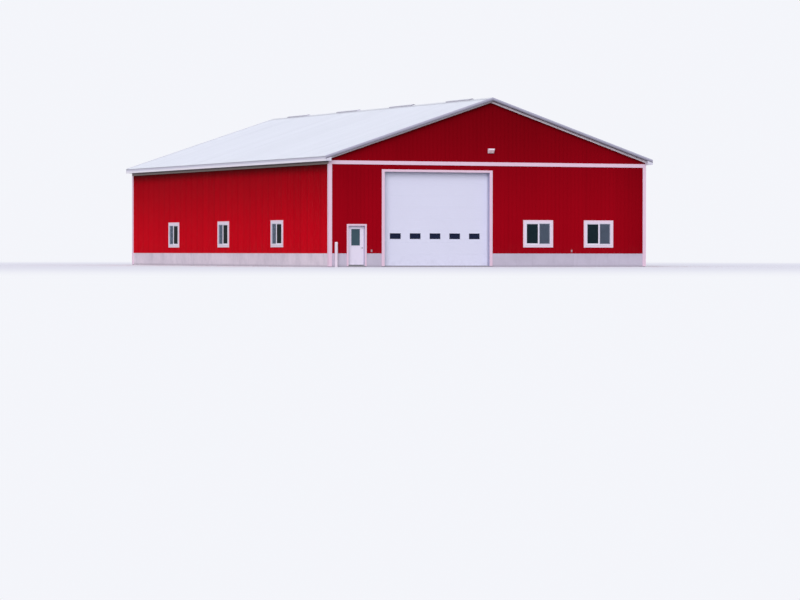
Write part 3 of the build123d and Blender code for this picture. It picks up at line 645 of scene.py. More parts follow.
def startSheet(name, width, height):  # an upright plane facing -Y, its foot at z = 0
    freshStart()
    bpy.ops.mesh.primitive_plane_add(size=1, location=(0, 0, height / 2), rotation=(math.pi / 2, 0, 0))
    return named(name, (width, height, 1))


def editing(piece):
    choose(piece)
    bpy.ops.object.mode_set(mode="EDIT")
    bpy.ops.mesh.select_all(action="SELECT")


def pick(kind, test):
    bpy.ops.mesh.select_mode(type=kind)
    bpy.ops.mesh.select_all(action="DESELECT")
    mesh = bpy.context.object.data
    shape = bmesh.from_edit_mesh(mesh)
    parts = {"VERT": shape.verts, "EDGE": shape.edges, "FACE": shape.faces}[kind]
    for part in parts:
        if test(part):
            part.select_set(True)
    shape.select_flush_mode()
    bmesh.update_edit_mesh(mesh)


def middle(part):
    return sum((corner.co for corner in part.verts), Vector()) / len(part.verts)


def cutAt(point, direction, **options):
    bpy.ops.mesh.select_all(action="SELECT")
    bpy.ops.mesh.bisect(plane_co=point, plane_no=direction, **options)


def modify(piece, kind, **settings):
    choose(piece)
    modifier = piece.modifiers.new(kind.title(), kind)
    for key, value in settings.items():
        setattr(modifier, key, value)
    bpy.ops.object.modifier_apply(modifier=modifier.name)


def arrayed(piece, count, step, **settings):
    spacing = {"use_relative_offset": False, "use_constant_offset": True, "constant_offset_displace": step}
    modify(piece, "ARRAY", count=count, **spacing, **settings)


def merged(name, parts):
    freshStart()
    for part in parts:
        part.select_set(True)
    bpy.context.view_layer.objects.active = parts[0]
    if len(parts) > 1:
        bpy.ops.object.join()
    whole = bpy.context.object
    whole.name = name
    return whole


def cutOut(piece, boxes):
    cutters = merged("cutter", [startBlock("cutter", low, high) for low, high in boxes])
    modify(piece, "BOOLEAN", object=cutters, operation="DIFFERENCE", solver="EXACT")
    bpy.data.objects.remove(cutters)


def placed(piece, turn, shift):
    piece.rotation_euler = (0, 0, turn)
    piece.location = shift
    settle(piece)
    return piece


def finished(piece, material, body="building"):
    wear(piece, material)
    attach(piece, body)
    return piece


# Ribbed siding, one pitch shaped by hand and arrayed along each wall
sheets = {
    "ribFoot": 0.046, "ribTop": 0.018, "ribRise": 0.0175, "smallPlace": 0.0762, "smallFoot": 0.030,
    "smallTop": 0.012, "smallRise": 0.003, "steel": 0.0012, "standOff": 0.002, "weld": 1e-5,
}


def raiseRib(place, foot, top, rise):
    cutAt((place - foot / 2, 0, 0), (1, 0, 0))
    cutAt((place + foot / 2, 0, 0), (1, 0, 0))
    pick("FACE", lambda face: abs(middle(face).x - place) < foot / 4 and abs(middle(face).y) < hair)
    bpy.ops.mesh.extrude_region_move(TRANSFORM_OT_translate={"value": (0, -rise, 0)})
    bpy.ops.transform.resize(value=(top / foot, 1, 1), center_override=(place, -rise, 0))


def ribbedWall(name, span, low, high):
    look = sheets
    count = math.ceil(span / ribPitch)
    piece = startSheet(name, ribPitch, high - low)
    editing(piece)
    raiseRib(0.0, look["ribFoot"], look["ribTop"], look["ribRise"])
    for place in (-look["smallPlace"], look["smallPlace"]):
        raiseRib(place, look["smallFoot"], look["smallTop"], look["smallRise"])
    freshStart()
    piece.location = (-span / 2 + ribPitch / 2, -look["standOff"], low)
    settle(piece)
    arrayed(piece, count, (ribPitch, 0, 0), use_merge_vertices=True, merge_threshold=look["weld"])
    modify(piece, "SOLIDIFY", thickness=look["steel"], offset=-1.0)
    editing(piece)
    cutAt((span / 2, 0, 0), (1, 0, 0), use_fill=True, clear_outer=True)
    freshStart()
    return piece


windowLook = {
    "doorInset": 2.823, "cornerInset": 2.80, "sidePitch": 8.03, "width": 1.524, "height": 1.219,
    "trim": 0.11, "trimDepth": 0.034, "trimHem": 0.012, "trimPlay": 0.001, "hemRise": 0.002,
    "frame": 0.055, "forward": 0.042, "frameDepth": 0.119, "sash": 0.046, "sashDepth": 0.03,
    "sashSetback": 0.004, "sashPlay": 0.002, "slope": 0.012, "fixedWider": 0.02, "meeting": (0.014, 0.09),
    "pane": 0.005, "paneInset": 0.003, "screenFrame": 0.018, "screenPlay": 0.003, "screenDepth": 0.007,
    "edge": 0.003,
}
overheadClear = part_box("overhead_door_jambs")[1].x - 0.02
frontWindows = [overheadClear + windowLook["doorInset"], wallX - windowLook["cornerInset"]]
sideWindows = [-windowLook["sidePitch"], 0.0, windowLook["sidePitch"]]


def windowHoles(places):
    half = windowLook["width"] / 2 + windowLook["trim"]
    return [((place - half, -margin, windowLow), (place + half, margin, windowHigh)) for place in places]


def gableWall(name, holes):
    span = sidingHigh.x - sidingLow.x
    piece = ribbedWall(name, span, sidingLow.z, sidingHigh.z)
    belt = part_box("belt_trims")
    beltBand = ((-wallX, -margin, beltLow), (wallX, margin, belt[1].z))
    cutOut(piece, holes + [beltBand])
    rise = Vector((roofPitch, 0, 1)).normalized()
    editing(piece)
    for side in (-1, 1):
        cutAt((0, 0, sidingHigh.z), (side * rise.x, 0, rise.z), use_fill=True, clear_outer=True)
    freshStart()
    return piece


doorHoles = []
for low, high in (overheadBox, walkBox):
    doorHoles.append(((low.x, -margin, sidingLow.z - margin), (high.x, margin, high.z)))
sidingSteel = {
    "front": redSteel("sidingFrontRed", 0, sidingLow.x, frontPaint),
    "side": redSteel("sidingSideRedLit", 1, sideLow.y, sideLitPaint),
}

frontSheets = gableWall("front_sheets", windowHoles(frontWindows) + doorHoles)
placed(frontSheets, 0.0, (0, -wallY, 0))
finished(frontSheets, sidingSteel["front"])
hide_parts("front_siding")

rearSheets = gableWall("rear_sheets", windowHoles([-place for place in frontWindows]))
placed(rearSheets, math.pi, (0, wallY, 0))
finished(rearSheets, sidingSteel["front"])
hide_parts("rear_siding")

for sideName, turn, shift in (("left", -math.pi / 2, -wallX), ("right", math.pi / 2, wallX)):
    sideSheets = ribbedWall(f"{sideName}_sheets", sideHigh.y - sideLow.y, sideLow.z, sideHigh.z)
    cutOut(sideSheets, windowHoles(sideWindows))
    placed(sideSheets, turn, (shift, 0, 0))
    finished(sideSheets, sidingSteel["side"])
    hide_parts("side_siding")
print("siding sheets made")


# Windows: surround, frame, two sashes on their own tracks, and a screen over the sliding half
def startRing(name, width, height, border, depth, slope=0.0):  # its front at y = 0, its foot at z = 0
    piece = startSheet(name, width, height)
    editing(piece)
    bpy.ops.mesh.inset(thickness=border, depth=-slope)
    bpy.ops.mesh.delete(type="FACE")
    modify(piece, "SOLIDIFY", thickness=depth, offset=-1.0)
    return piece


def softened(piece, width, segments=2):
    options = {"limit_method": "ANGLE", "angle_limit": math.radians(40)}
    modify(piece, "BEVEL", width=width, segments=segments, **options)
    return piece


def copied(piece):
    choose(piece)
    bpy.ops.object.duplicate()
    return bpy.context.object


def windowSurround():
    look = windowLook
    width, height = look["width"] + 2 * look["trim"], look["height"] + 2 * look["trim"]
    play, rise = look["trimPlay"], look["hemRise"]
    board = startRing("surround", width - 2 * play, height - 2 * play, look["trim"] - play, look["trimDepth"])
    placed(board, 0.0, (0, -look["trimDepth"], windowLow + play))
    hem = startRing("hem", width, height, look["trimHem"], look["trimDepth"] + rise)
    placed(hem, 0.0, (0, -look["trimDepth"] - rise, windowLow))
    return softened(merged("surround", [board, hem]), look["edge"])


def sashSizes(track):  # width, shift from the middle, and place in depth; track 0 is the fixed sash
    look = windowLook
    clear = look["width"] - 2 * look["frame"]
    width = (clear + look["sash"]) / 2 + (1 - track) * look["fixedWider"]
    away = look["sashSetback"] + track * (look["sashDepth"] + look["sashPlay"]) - look["forward"]
    return width, (clear - width) / 2, away


def windowVinyl(outerSide):  # the fixed sash is on outerSide, seen from outside
    look = windowLook
    foot = windowLow + look["trim"]
    frame = startRing("frame", look["width"], look["height"], look["frame"], look["frameDepth"])
    placed(frame, 0.0, (0, -look["forward"], foot))
    height = look["height"] - 2 * look["frame"]
    parts = [softened(frame, look["edge"])]
    for track, side in ((0, outerSide), (1, -outerSide)):
        width, shift, away = sashSizes(track)
        depths = (look["sashDepth"] - look["slope"], look["slope"])
        sash = startRing("sash", width, height, look["sash"], *depths)
        editing(sash)
        inner = width / 2 - look["sash"]
        pick("VERT", lambda vert: abs(vert.co.x * -side - inner) < hair)
        bpy.ops.transform.translate(value=(side * look["meeting"][track], -track * look["slope"] / 2, 0))
        placed(sash, 0.0, (side * shift, away, foot + look["frame"]))
        parts.append(softened(sash, look["edge"]))
    width, shift = screenSizes()
    ring = (width, height - 2 * look["screenPlay"], look["screenFrame"], look["screenDepth"])
    screen = startRing("screen", *ring)
    placed(screen, 0.0, (-outerSide * shift, -look["forward"], foot + look["frame"] + look["screenPlay"]))
    parts.append(softened(screen, look["edge"] / 2, 1))
    return merged("vinyl", parts)


def windowPanes(outerSide):
    look = windowLook
    low = windowLow + look["trim"] + look["frame"] + look["sash"] / 2
    high = windowHigh - look["trim"] - look["frame"] - look["sash"] / 2
    panes = []
    for track, side in ((0, outerSide), (1, -outerSide)):
        width, shift, away = sashSizes(track)
        half, front = (width - look["sash"]) / 2, away + look["slope"] + look["paneInset"]
        ends = (side * shift - half, side * shift + half)
        panes.append(startBlock("pane", (ends[0], front, low), (ends[1], front + look["pane"], high)))
    return merged("panes", panes)


def screenSizes():  # the screen fills the half beside the fixed sash
    look = windowLook
    clear = look["width"] - 2 * look["frame"]
    return clear - sashSizes(0)[0] - 2 * look["screenPlay"], sashSizes(0)[0] / 2


def windowScreen(outerSide):
    look = windowLook
    width, shift = screenSizes()
    border = look["frame"] + look["screenPlay"] + look["screenFrame"]
    size = (width - 2 * look["screenFrame"], look["height"] - 2 * border)
    away = look["screenDepth"] / 2 - look["forward"]
    mesh = startSheet("mesh", *size)
    return placed(mesh, 0.0, (-outerSide * shift, away, windowLow + look["trim"] + border))


windowPlaces = []
for place in frontWindows:
    windowPlaces.append((0.0, (place, -wallY, 0), -1))
    windowPlaces.append((math.pi, (place, wallY, 0), 1))
for place in sideWindows:
    windowPlaces.append((-math.pi / 2, (-wallX, place, 0), 1))
    windowPlaces.append((math.pi / 2, (wallX, place, 0), -1))


def allWindows(name, patterns):  # one copy of the fitting pattern at each window
    copies = []
    for turn, shift, outerSide in windowPlaces:
        copies.append(placed(copied(patterns[outerSide]), turn, shift))
    for pattern in set(patterns.values()):
        bpy.data.objects.remove(pattern)
    return merged(name, copies)


surround = windowSurround()
surrounds = allWindows("window_surrounds", {1: surround, -1: surround})
finished(surrounds, finishes["windowTrim"])
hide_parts("window_trims")
vinyls = allWindows("window_vinyl", {1: windowVinyl(1), -1: windowVinyl(-1)})
finished(vinyls, finishes["vinyl"])
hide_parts("window_frames", "window_sashes")
panes = allWindows("window_panes", {1: windowPanes(1), -1: windowPanes(-1)})
finished(panes, finishes["glass"])
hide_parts("window_glass")
screens = allWindows("window_screens", {1: windowScreen(1), -1: windowScreen(-1)})
finished(screens, finishes["screen"])
print("windows made")


# Overhead door: grooved sections with eased joints, framed lites, side stops and a bottom seal
overheadLook = {
    "jamb": 0.02, "sections": 8, "grooves": 5, "grooveWidth": 0.008, "grooveDepth": 0.0025,
    "jointEase": 0.005, "gap": 0.0005, "liteCount": 5, "liteWidth": 0.625, "frameBorder": 0.024,
    "frameLap": 0.004, "frameRise": 0.007, "frameSlope": 0.002, "stopWidth": 0.014, "stopDepth": 0.05,
    "flap": 0.012, "flapThick": 0.004, "seal": 0.035, "frameEdge": 0.002, "stopGap": 0.004,
    "stopEdge": 0.003, "flapLap": 0.003, "flapEdge": 0.0015,
}
sectionLow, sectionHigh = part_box("overhead_door_sections")
sectionStep = (sectionHigh.z - sectionLow.z + overheadLook["gap"]) / overheadLook["sections"]
liteLow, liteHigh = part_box("overhead_door_lites")
litePitch = (liteHigh.x - liteLow.x - overheadLook["liteWidth"]) / (overheadLook["liteCount"] - 1)
liteStarts = [liteLow.x + index * litePitch for index in range(overheadLook["liteCount"])]


def overheadSections():
    look = overheadLook
    top = sectionLow.z + sectionStep - look["gap"]
    piece = startBlock("overhead_sections", sectionLow, (sectionHigh.x, sectionHigh.y, top))
    editing(piece)
    for index in range(1, look["grooves"]):
        height = sectionLow.z + index * sectionStep / look["grooves"]
        for level in (height - look["grooveWidth"] / 2, height, height + look["grooveWidth"] / 2):
            cutAt((0, 0, level), (0, 0, 1))
        pick("VERT", lambda vert: abs(vert.co.z - height) < hair and vert.co.y < sectionLow.y + hair)
        bpy.ops.transform.translate(value=(0, look["grooveDepth"], 0))
    pick("EDGE", lambda edge: middle(edge).y < sectionLow.y + hair and (
        middle(edge).z < sectionLow.z + hair or middle(edge).z > top - hair
    ))
    bpy.ops.mesh.bevel(offset=look["jointEase"], segments=1)
    freshStart()
    arrayed(piece, look["sections"], (0, 0, sectionStep))
    holes = []
    for start in liteStarts:
        low = (start, sectionLow.y - margin, liteLow.z)
        holes.append((low, (start + look["liteWidth"], sectionHigh.y + margin, liteHigh.z)))
    cutOut(piece, holes)
    return piece


def liteFrames():
    look = overheadLook
    width = look["liteWidth"] + 2 * look["frameBorder"] - 2 * look["frameLap"]
    height = liteHigh.z - liteLow.z + 2 * look["frameBorder"] - 2 * look["frameLap"]
    foot = liteLow.z - look["frameBorder"] + look["frameLap"]
    depth = look["frameRise"] - look["frameSlope"]
    sides = ((sectionLow.y - look["frameRise"], 0.0), (sectionHigh.y + look["frameRise"], math.pi))
    rings = []
    for start in liteStarts:
        for away, turn in sides:
            ring = startRing("liteFrame", width, height, look["frameBorder"], depth, look["frameSlope"])
            rings.append(placed(ring, turn, (start + look["liteWidth"] / 2, away, foot)))
    return softened(merged("overhead_lite_frames", rings), look["frameEdge"], 1)


def overheadStops():  # boards down both jambs and under the head, each with its rubber flap
    look = overheadLook
    jambLow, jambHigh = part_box("overhead_door_jambs")
    jamb, wide, thick = look["jamb"], look["stopWidth"], look["flapThick"]
    left, right, head = jambLow.x + jamb, jambHigh.x - jamb, jambHigh.z - jamb
    back, foot = sectionLow.y - look["stopGap"], sectionLow.z
    front = back - look["stopDepth"]
    stops = [
        startBlock("stop", (left, front, foot), (left + wide, back, head)),
        startBlock("stop", (right - wide, front, foot), (right, back, head)),
        startBlock("stop", (left + wide, front, head - wide), (right - wide, back, head)),
    ]
    inner, outer = wide + look["flap"], wide
    near, far = back - thick, back + look["flapLap"]
    flaps = [
        startBlock("flap", (left + outer, near, foot), (left + inner, far, head - outer)),
        startBlock("flap", (right - inner, near, foot), (right - outer, far, head - outer)),
        startBlock("flap", (left + inner, near, head - inner), (right - inner, far, head - outer)),
        startBlock("flap", (left + inner, near - thick, foot), (right - inner, far, foot + look["seal"])),
    ]
    boards, seals = merged("overhead_stops", stops), merged("overhead_seals", flaps)
    return softened(boards, look["stopEdge"]), softened(seals, look["flapEdge"], 1)


doorSkin = overheadSections()
finished(doorSkin, finishes["door"])
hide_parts("overhead_door_sections")
finished(liteFrames(), finishes["door"])
stopPiece, sealPiece = overheadStops()
finished(stopPiece, finishes["fascia"])
finished(sealPiece, finishes["seal"])
print("overhead door made")


# Walk door: leaf with eased edges, raised moulding round the lite, sweep and rounded levers
walkLook = {
    "edge": 0.0025, "moulding": 0.045, "mouldingLap": 0.010, "mouldingRise": 0.013,
    "mouldingSlope": 0.006, "sweep": 0.03, "roseRadius": 0.032, "roseDepth": 0.01, "neckRadius": 0.0095,
    "leverLength": 0.118, "leverHeight": 0.019, "leverTip": 0.014, "leverThick": 0.011,
    "leverCuts": (0.35, 0.7), "tipFrom": 0.9, "bendFrom": 0.6, "leverBend": 0.004, "leverEdge": 0.0045,
    "roseEdge": 0.003, "sweepPlay": 0.004, "sweepEdge": 0.0015,
}
leafLow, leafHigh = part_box("walk_door_leaf")
paneLow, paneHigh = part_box("walk_door_glass")


def walkLeaf():
    look = walkLook
    leaf = startBlock("walk_leaf", leafLow, leafHigh)
    hole = ((paneLow.x, leafLow.y - margin, paneLow.z), (paneHigh.x, leafHigh.y + margin, paneHigh.z))
    cutOut(leaf, [hole])
    softened(leaf, look["edge"])
    width = paneHigh.x - paneLow.x + 2 * (look["moulding"] - look["mouldingLap"])
    height = paneHigh.z - paneLow.z + 2 * (look["moulding"] - look["mouldingLap"])
    foot = paneLow.z - look["moulding"] + look["mouldingLap"]
    depth = look["mouldingRise"] - look["mouldingSlope"]
    sides = ((leafLow.y - look["mouldingRise"], 0.0), (leafHigh.y + look["mouldingRise"], math.pi))
    rings = [leaf]
    for away, turn in sides:
        ring = startRing("moulding", width, height, look["moulding"], depth, look["mouldingSlope"])
        placed(ring, turn, ((paneLow.x + paneHigh.x) / 2, away, foot))
        rings.append(softened(ring, look["edge"]))
    return merged("walk_leaf", rings)


def startDisc(name, radius, depth, sides=40):  # its axis along Y, its back at y = 0
    freshStart()
    stance = {"location": (0, -depth / 2, 0), "rotation": (math.pi / 2, 0, 0)}
    bpy.ops.mesh.primitive_cylinder_add(vertices=sides, radius=radius, depth=depth, **stance)
    return named(name)


def oneLever(reach):  # on a face at y = 0 that looks to -Y, its lever to -X
    look = walkLook
    rose = softened(startDisc("rose", look["roseRadius"], look["roseDepth"]), look["roseEdge"], 3)
    neck = startDisc("neck", look["neckRadius"], reach - look["leverThick"] / 2, 24)
    half = look["leverHeight"] / 2
    barFront, barBack = -reach, -reach + look["leverThick"]
    bar = startBlock("bar", (-look["leverLength"], barFront, -half), (half, barBack, half))
    editing(bar)
    for share in look["leverCuts"]:
        cutAt((-share * look["leverLength"], 0, 0), (1, 0, 0))
    pick("VERT", lambda vert: vert.co.x < -look["tipFrom"] * look["leverLength"])
    bpy.ops.transform.resize(value=(1, 1, look["leverTip"] / look["leverHeight"]), center_override=(0, 0, 0))
    pick("VERT", lambda vert: vert.co.x < -look["bendFrom"] * look["leverLength"])
    bpy.ops.transform.translate(value=(0, look["leverBend"], 0))
    freshStart()
    return merged("lever", [rose, neck, softened(bar, look["leverEdge"], 3)])


leafPiece = walkLeaf()
finished(leafPiece, finishes["walkDoor"], "walk_door")
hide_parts("walk_door_leaf")
leverLow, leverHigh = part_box("walk_door_levers")
leverX, leverZ = leverHigh.x - walkLook["roseRadius"], (leverLow.z + leverHigh.z) / 2
outerLever = placed(oneLever(leafLow.y - leverLow.y), 0.0, (leverX, leafLow.y, leverZ))
innerLever = oneLever(leverHigh.y - leafHigh.y)
modify(innerLever, "MIRROR", use_axis=(False, True, False), use_bisect_axis=(False, False, False))
editing(innerLever)
pick("VERT", lambda vert: vert.co.y < -hair)
bpy.ops.mesh.delete(type="VERT")
placed(innerLever, 0.0, (leverX, leafHigh.y, leverZ))
levers = merged("walk_levers", [outerLever, innerLever])
finished(levers, finishes["metal"], "walk_door")
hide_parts("walk_door_levers")
play = walkLook["sweepPlay"]
sweepLow = (leafLow.x + play, leafLow.y - play, leafLow.z - play)
sweep = startBlock("walk_sweep", sweepLow, (leafHigh.x - play, leafLow.y, leafLow.z + walkLook["sweep"]))
finished(softened(sweep, walkLook["sweepEdge"], 1), finishes["rubber"], "walk_door")
print("walk door made")


# Rake trim: a folded steel cover along both slopes of each gable, its flange over the first rib
rakeFold = {
    "thick": 0.02, "flange": 0.13, "steel": 0.0018, "upperBand": 0.058, "lowerBand": 0.014, "step": 0.007,
    "bend": 0.004, "edge": 0.0012,
}
rakeLow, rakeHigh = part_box("rake_fascias")


def stepBack(front, low, high, depth, bend):  # the face between two levels goes back, with bent edges
    for level in (low, low + bend, high - bend, high):
        cutAt((0, 0, level), (0, 0, 1))
    pick("VERT", lambda vert: vert.co.y < front + hair and low + bend / 2 < vert.co.z < high - bend / 2)
    bpy.ops.transform.translate(value=(0, depth, 0))


def rakeTrims():
    look = rakeFold
    fall = roofPitch * rakeHigh.x
    foot = rakeLow.z + fall
    back = rakeLow.y + look["thick"]
    piece = startBlock("rakes", (0, rakeLow.y, foot), (rakeHigh.x, back, rakeHigh.z))
    editing(piece)
    stepBack(rakeLow.y, foot + look["lowerBand"], rakeHigh.z - look["upperBand"], look["step"], look["bend"])
    cutAt((0, 0, rakeHigh.z - look["steel"]), (0, 0, 1))
    pick("FACE", lambda face: middle(face).y > back - hair and middle(face).z > rakeHigh.z - look["steel"])
    away = (0, look["flange"] - look["thick"], 0)
    bpy.ops.mesh.extrude_region_move(TRANSFORM_OT_translate={"value": away})
    pick("FACE", lambda face: abs(middle(face).x) < hair)
    bpy.ops.mesh.delete(type="FACE")
    pick("VERT", lambda vert: vert.co.x > rakeHigh.x - hair)
    bpy.ops.transform.translate(value=(0, 0, -fall))
    freshStart()
    modify(piece, "MIRROR", use_axis=(True, True, False))
    return softened(piece, look["edge"], 1)


rakes = rakeTrims()
finished(rakes, finishes["rake"])
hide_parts("rake_fascias")


# Eave fascias: a drip edge over a broad face with a hemmed foot
eaveFold = {"thick": 0.02, "upperShare": 0.55, "step": 0.008, "hem": 0.013, "hemStep": 0.003, "bend": 0.004}


def eaveTrims():
    look = eaveFold
    reach = eaveHigh.y
    drip = eaveHigh.z - look["upperShare"] * (eaveHigh.z - eaveLow.z)
    high = (reach, -eaveHigh.x + look["thick"], eaveHigh.z)
    piece = startBlock("eaves", (-reach, -eaveHigh.x, eaveLow.z), high)
    editing(piece)
    stepBack(-eaveHigh.x, drip, eaveHigh.z + look["bend"], look["step"], look["bend"])
    stepBack(-eaveHigh.x, eaveLow.z + look["hem"], drip - look["bend"], look["hemStep"], look["bend"])
    freshStart()
    placed(piece, math.pi / 2, (0, 0, 0))
    modify(piece, "MIRROR", use_axis=(True, False, False))
    return piece


eaves = eaveTrims()
finished(eaves, finishes["eave"])
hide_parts("eave_fascias")


# Cheeks that close the eave boxes beside the gables
cheekLook = {"steel": 0.003, "play": 0.0015, "endPlate": 0.0215}


def eaveCheeks():
    look = cheekLook
    low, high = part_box("eave_box_ends")
    inner, outer = wallX + look["play"], wallX + look["play"] + look["steel"]
    back, front = wallY + look["play"], high.y - look["endPlate"]
    foot, top = low.z + look["play"], high.z - look["play"]
    plate = startBlock("eave_box_cheeks", (inner, back, foot), (outer, front, top))
    modify(plate, "MIRROR", use_axis=(True, True, False))
    return plate


finished(eaveCheeks(), finishes["fascia"])
print("roof edges made")


# Wall light: a rounded housing with a lip, and a ribbed lens on its slope
lampLook = {
    "lip": 0.07, "foot": 0.035, "edge": 0.008, "border": 0.016, "lensRise": 0.004, "lensThick": 0.012,
    "ribs": 11, "ribDepth": 0.004,
}
lampLow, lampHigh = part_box("wall_light")


def lampSlope():  # upper and lower middle of the sloping front
    look = lampLook
    upper = Vector((0, lampLow.y, lampHigh.z - look["lip"]))
    return upper, Vector((0, lampHigh.y - look["foot"], lampLow.z))


def lampHousing():
    look = lampLook
    upper, lower = lampSlope()
    piece = startBlock("lamp_housing", lampLow, lampHigh)
    editing(piece)
    cutAt(upper, (0, 0, 1))
    pick("VERT", lambda vert: vert.co.y < lampLow.y + hair and vert.co.z < lampLow.z + hair)
    bpy.ops.transform.translate(value=(0, lower.y - upper.y, 0))
    return softened(piece, look["edge"], 3)


def lampLens():
    look = lampLook
    upper, lower = lampSlope()
    run = upper - lower
    height = run.length - 2 * look["border"]
    width = lampHigh.x - lampLow.x - 2 * look["border"]
    lens = startBlock("lamp_lens", (-width / 2, 0, 0), (width / 2, look["lensThick"], height))
    editing(lens)
    for index in range(1, 2 * look["ribs"]):
        cutAt((0, 0, index * height / (2 * look["ribs"])), (0, 0, 1))
    step = height / look["ribs"]
    pick("VERT", lambda vert: vert.co.y < hair and abs(vert.co.z / step % 1 - 0.5) < 0.1)
    bpy.ops.transform.translate(value=(0, -look["ribDepth"], 0))
    freshStart()
    lens.rotation_euler = (math.atan2(-run.y, run.z), 0, 0)
    lens.location = lower + run.normalized() * look["border"] + Vector((0, -look["lensRise"], 0))
    settle(lens)
    return lens


lamp = lampHousing()
finished(lamp, finishes["housing"])
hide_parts("wall_light")
finished(lampLens(), finishes["lens"])


# Weather covers of the outlets: a plate, and a bulging lid hinged at its top
outletLook = {"width": 0.09, "plate": 0.006, "border": 0.012, "lid": 0.028, "taper": 0.9, "edge": 0.003}
outletLow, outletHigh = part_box("outlet_covers")


def outletCover(left):
    look = outletLook
    back = outletHigh.y
    corner = (left + look["width"], back, outletHigh.z)
    plate = startBlock("plate", (left, back - look["plate"], outletLow.z), corner)
    low = (left + look["border"], back - look["lid"], outletLow.z + look["border"])
    high = (left + look["width"] - look["border"], back - look["plate"], outletHigh.z - 2 * look["border"])
    lid = startBlock("lid", low, high)
    editing(lid)
    pick("FACE", lambda face: middle(face).y < low[1] + hair)
    pivot = (left + look["width"] / 2, low[1], high[2])
    bpy.ops.transform.resize(value=(look["taper"], 1, look["taper"]), center_override=pivot)
    freshStart()
    barrel = startDisc("barrel", look["border"] / 2, look["width"] - 3 * look["border"], 16)
    barrel.rotation_euler = (0, 0, math.pi / 2)
    barrel.location = (left + 1.5 * look["border"], back - look["plate"] - look["border"] / 3, high[2])
    settle(barrel)
    return softened(merged("outlet", [plate, lid]), look["edge"], 2), barrel


covers = [part for left in (outletLow.x, outletHigh.x - outletLook["width"]) for part in outletCover(left)]
outlets = merged("outlets", covers)
finished(outlets, finishes["plastic"])
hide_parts("outlet_covers")


# Bollard: a steel pipe with a welded, rounded cap
bollardLook = {"sides": 48, "dome": 0.05, "weld": 0.012, "weldRise": 0.0025}
bollardLow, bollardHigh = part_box("bollard")


def bollardPipe():
    look = bollardLook
    centre = (bollardLow + bollardHigh) / 2
    radius = (bollardHigh.x - bollardLow.x) / 2 - look["weldRise"]
    freshStart()
    height = bollardHigh.z - bollardLow.z
    bpy.ops.mesh.primitive_cylinder_add(vertices=look["sides"], radius=radius, depth=height, location=centre)
    pipe = named("bollard_pipe")
    editing(pipe)
    weld = bollardHigh.z - look["dome"] - look["weld"]
    for level in (weld - look["weld"], weld, weld + look["weld"] / 2):
        cutAt((0, 0, level), (0, 0, 1))
    pick("VERT", lambda vert: abs(vert.co.z - weld) < hair)
    grown = (radius + look["weldRise"]) / radius
    bpy.ops.transform.resize(value=(grown, grown, 1), center_override=(centre.x, centre.y, weld))
    pick("EDGE", lambda edge: all(vert.co.z > bollardHigh.z - hair for vert in edge.verts))
    bpy.ops.mesh.bevel(offset=look["dome"], segments=6)
    choose(pipe)
    bpy.ops.object.shade_smooth_by_angle(angle=math.radians(35))
    return pipe


bollard = bollardPipe()
finished(bollard, finishes["bollard"])
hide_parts("bollard")
print("small fittings made")


# Screws with hexagonal heads: beside every rib of the siding and on the roof's flats
screwLook = {
    "radius": 0.0075, "top": 0.0055, "height": 0.005, "besideRib": 0.038, "wallRow": 0.61,
    "footRow": 0.05, "roofRow": 0.61, "eaveRow": 0.12, "ridgeGap": 0.45, "panDrop": 0.022,
}


def screwHead(name):  # on a face at y = 0 that looks to -Y
    look = screwLook
    freshStart()
    stance = {"location": (0, -look["height"] / 2, 0), "rotation": (math.pi / 2, 0, 0)}
    sizes = {"radius1": look["radius"], "radius2": look["top"], "depth": look["height"]}
    bpy.ops.mesh.primitive_cone_add(vertices=6, end_fill_type="NGON", **sizes, **stance)
    return named(name)


def screwField(name, start, columns, columnStep, rows, rowStep):
    field = screwHead(name)
    placed(field, 0.0, start)
    for count, step in ((columns, (columnStep, 0, 0)), (rows, (0, 0, rowStep))):
        arrayed(field, count, step)
    return field


def thinned(field, start, columnStep, rowStep, away):  # heads whose place is turned down are taken out
    editing(field)

    def unwanted(vert):
        column = round((vert.co.x - start[0]) / columnStep)
        row = round((vert.co.z - start[2]) / rowStep)
        return away(start[0] + column * columnStep, start[2] + row * rowStep)

    pick("VERT", unwanted)
    bpy.ops.mesh.delete(type="VERT")
    freshStart()
    return field


def wallScrews(name, span, top, holes, rakeTop=None):
    look = screwLook
    start = (-span / 2 + ribPitch / 2 + look["besideRib"], -sheets["standOff"], sidingLow.z + look["footRow"])
    columns = math.ceil(span / ribPitch)
    rows = int((top - start[2]) / look["wallRow"]) + 1
    edge = 3 * look["radius"]

    def away(x, z):
        inHole = any(
            low[0] - edge < x < high[0] + edge and low[2] - edge < z < high[2] + edge for low, high in holes
        )
        overRake = rakeTop is not None and z > rakeTop - roofPitch * abs(x) - edge
        return inHole or overRake or abs(x) > span / 2 - edge or z > top - edge

    field = screwField(name, start, columns, ribPitch, rows, look["wallRow"])
    return thinned(field, start, ribPitch, look["wallRow"], away)


beltHole = ((-wallX, 0, beltLow), (wallX, 0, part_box("belt_trims")[1].z))
gableSpan = sidingHigh.x - sidingLow.x
frontField = wallScrews(
    "front_screws", gableSpan, sidingHigh.z, windowHoles(frontWindows) + doorHoles + [beltHole], sidingHigh.z,
)
placed(frontField, 0.0, (0, -wallY, 0))
rearHoles = windowHoles([-place for place in frontWindows]) + [beltHole]
rearField = wallScrews("rear_screws", gableSpan, sidingHigh.z, rearHoles, sidingHigh.z)
placed(rearField, math.pi, (0, wallY, 0))
finished(merged("gable_screws", [frontField, rearField]), sidingSteel["front"])
sideFields = []
for turn, shift in ((-math.pi / 2, -wallX), (math.pi / 2, wallX)):
    field = wallScrews("side_screws", sideHigh.y - sideLow.y, sideHigh.z, windowHoles(sideWindows))
    sideFields.append(placed(field, turn, (shift, 0, 0)))
finished(merged("side_screws", sideFields), sidingSteel["side"])


